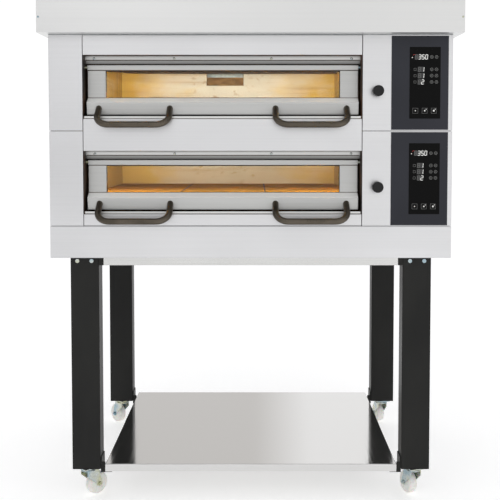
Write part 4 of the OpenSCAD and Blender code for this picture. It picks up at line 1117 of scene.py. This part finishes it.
class OVEN_OT_studio(bpy.types.Operator):
    """Sets the floor, the soft lights, the world and the camera"""
    bl_idname = "oven.studio"
    bl_label = "Studio"

    def execute(self, context):
        scene = context.scene
        studio = scene.studio_settings
        bm = bmesh.new()
        bmesh.ops.create_grid(bm, x_segments=8, y_segments=8, size=40)
        mesh = bpy.data.meshes.new("studio_floor")
        bm.to_mesh(mesh)
        bm.free()
        floor = bpy.data.objects.new("studio_floor", mesh)
        scene.collection.objects.link(floor)
        # painted studio floor: white matte emulsion with faint roller marks of 30 mm
        material, tree, shader = new_material("white_studio_paint", hex_colour("#F6F6F5"), 0.8)
        marks = add(tree, "TexNoise", {"Vector": stretched(tree, 30, 30, 30), "Scale": 1.0,
                                       "Detail": 2.0}).outputs["Fac"]
        rough = add(tree, "MapRange", {"Value": marks, "From Min": 0.3, "From Max": 0.7, "To Min": 0.76,
                                       "To Max": 0.84}).outputs["Result"]
        tree.links.new(rough, shader.inputs["Roughness"])
        shader.inputs["Emission Color"].default_value = (1, 1, 1, 1)
        shader.inputs["Emission Strength"].default_value = FLOOR_GLOW
        mesh.materials.append(material)

        world = bpy.data.worlds.new("white_studio")
        scene.world = world
        world.use_nodes = True
        tree = world.node_tree
        back = tree.nodes["Background"]
        direction = add(tree, "TexCoord").outputs["Generated"]
        parts = add(tree, "SeparateXYZ", {"Vector": direction})
        behind = add(tree, "MapRange", {"Value": parts.outputs["Y"], "From Min": 0.5,
                                        "From Max": 0.9}).outputs["Result"]
        left = add(tree, "MapRange", {"Value": parts.outputs["X"], "From Min": 0.06,
                                      "From Max": 0.0}).outputs["Result"]
        shade = add(tree, "Math", {0: behind, 1: left}, operation="MULTIPLY").outputs[0]
        room = add(tree, "Mix", {0: shade, 6: hex_colour("#FFFFFF"), 7: hex_colour("#DAD8D6")},
                   data_type="RGBA").outputs[2]
        before = add(tree, "MapRange", {"Value": parts.outputs["Y"], "From Min": -0.5,
                                        "From Max": -0.9}).outputs["Result"]
        corner = add(tree, "MapRange", {"Value": parts.outputs["X"], "From Min": 0.06,
                                        "From Max": -0.22}).outputs["Result"]
        shade = add(tree, "Math", {0: before, 1: corner}, operation="MULTIPLY").outputs[0]
        room = add(tree, "Mix", {0: shade, 6: room, 7: hex_colour("#ACACAE")},
                   data_type="RGBA").outputs[2]
        # the room's side walls and ceiling are dimmer than its front and back
        aside = add(tree, "Math", {0: parts.outputs["X"]}, operation="ABSOLUTE").outputs[0]
        share = add(tree, "MapRange", {"Value": aside, "From Min": 0.35,
                                       "From Max": 0.75}).outputs["Result"]
        room = add(tree, "Mix", {0: share, 6: room, 7: hex_colour("#BDBEC1")},
                   data_type="RGBA").outputs[2]
        share = add(tree, "MapRange", {"Value": parts.outputs["Z"], "From Min": 0.5,
                                       "From Max": 0.8}).outputs["Result"]
        room = add(tree, "Mix", {0: share, 6: room, 7: hex_colour("#DADADC")},
                   data_type="RGBA").outputs[2]
        seen = add(tree, "LightPath").outputs["Is Camera Ray"]
        tree.links.new(add(tree, "Mix", {0: seen, 6: room, 7: (1, 1, 1)}, data_type="RGBA").outputs[2],
                       back.inputs["Color"])
        back.inputs["Strength"].default_value = ROOM_GLOW

        middle = Vector((0, 0, 0.95))
        for name, place, size, power in (
            ("key_softbox", (-1.5, -4.6, 3.4), 3.2, studio.key),
            ("fill_softbox", (3.6, -3.4, 2.2), 2.4, studio.fill),
            ("back_softbox", (-2.2, 4.2, 3.0), 2.8, studio.fill),
        ):
            data = bpy.data.lights.new(name, "AREA")
            data.shape, data.size, data.energy = "DISK", size, power
            lamp = bpy.data.objects.new(name, data)
            lamp.visible_glossy = name != "back_softbox"
            lamp.location = place
            lamp.rotation_euler = (middle - Vector(place)).to_track_quat("-Z", "Y").to_euler()
            scene.collection.objects.link(lamp)

        for deck in DECKS:
            low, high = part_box(deck + "_chamber")
            for side, x in (("left", low.x + 0.03), ("right", high.x - 0.03)):
                data = bpy.data.lights.new(f"{deck}_{side}_lamp_light", "POINT")
                data.energy, data.color, data.shadow_soft_size = 1.3, colours().glow, 0.03
                lamp = bpy.data.objects.new(data.name, data)
                lamp.location = (x, low.y + 0.09, high.z - 0.06)
                lamp.visible_camera = lamp.visible_transmission = False
                scene.collection.objects.link(lamp)
            # light that the bright chamber walls throw back, as one wide soft source behind the mouth
            data = bpy.data.lights.new(deck + "_chamber_light", "AREA")
            data.shape, data.size, data.size_y = "RECTANGLE", 0.8, 0.05
            data.energy = 1.6 if deck == "upper" else 1.4
            data.color = hex_colour("#F7FFF3")
            lamp = bpy.data.objects.new(data.name, data)
            lamp.location = ((low.x + high.x) / 2, low.y + 0.04, high.z - 0.05)
            lamp.rotation_euler = (math.radians(84), 0, 0)
            lamp.visible_camera = lamp.visible_transmission = False
            scene.collection.objects.link(lamp)

        data = bpy.data.cameras.new("camera")
        data.lens = studio.lens
        data.sensor_width = 36
        data.clip_end = 100
        data.shift_x, data.shift_y = SHIFT_X, SHIFT_Y
        data.dof.use_dof = False
        camera = bpy.data.objects.new("camera", data)
        camera.location = (CAMERA_X, FRONT - studio.distance, studio.eye)
        camera.rotation_euler = (math.pi / 2 - studio.tilt, 0, 0)
        scene.collection.objects.link(camera)
        scene.camera = camera
        scene.view_settings.view_transform = "Standard"
        return {"FINISHED"}


class OVEN_PT_panel(bpy.types.Panel):
    """Steps that finish the oven"""
    bl_idname = "OVEN_PT_panel"
    bl_label = "Deck Oven"
    bl_space_type = "VIEW_3D"
    bl_region_type = "UI"
    bl_category = "Deck Oven"

    def draw(self, context):
        for step in STEPS:
            self.layout.operator(step.bl_idname)
        for group in (context.scene.oven_colours, context.scene.oven_sizes, context.scene.studio_settings):
            box = self.layout.box()
            for key in group.__annotations__:
                box.prop(group, key)


GROUPS = {"oven_colours": OvenColours, "oven_sizes": OvenSizes, "studio_settings": StudioSettings}
STEPS = (OVEN_OT_finish_nodes, OVEN_OT_folded_sheets, OVEN_OT_casing_screws, OVEN_OT_recess_screws,
         OVEN_OT_door_details, OVEN_OT_hearth_joints, OVEN_OT_vent_baffles, OVEN_OT_caster_details,
         OVEN_OT_display_marks, OVEN_OT_studio)


def register():
    for kind in (*GROUPS.values(), *STEPS, OVEN_PT_panel):
        bpy.utils.register_class(kind)
    for name, kind in GROUPS.items():
        setattr(bpy.types.Scene, name, bpy.props.PointerProperty(type=kind))


def unregister():
    for name in GROUPS:
        delattr(bpy.types.Scene, name)
    for kind in reversed((*GROUPS.values(), *STEPS, OVEN_PT_panel)):
        bpy.utils.unregister_class(kind)


def main():
    register()
    for step in STEPS:
        group, name = step.bl_idname.split(".")
        getattr(getattr(bpy.ops, group), name)()


if __name__ == "__main__":
    main()
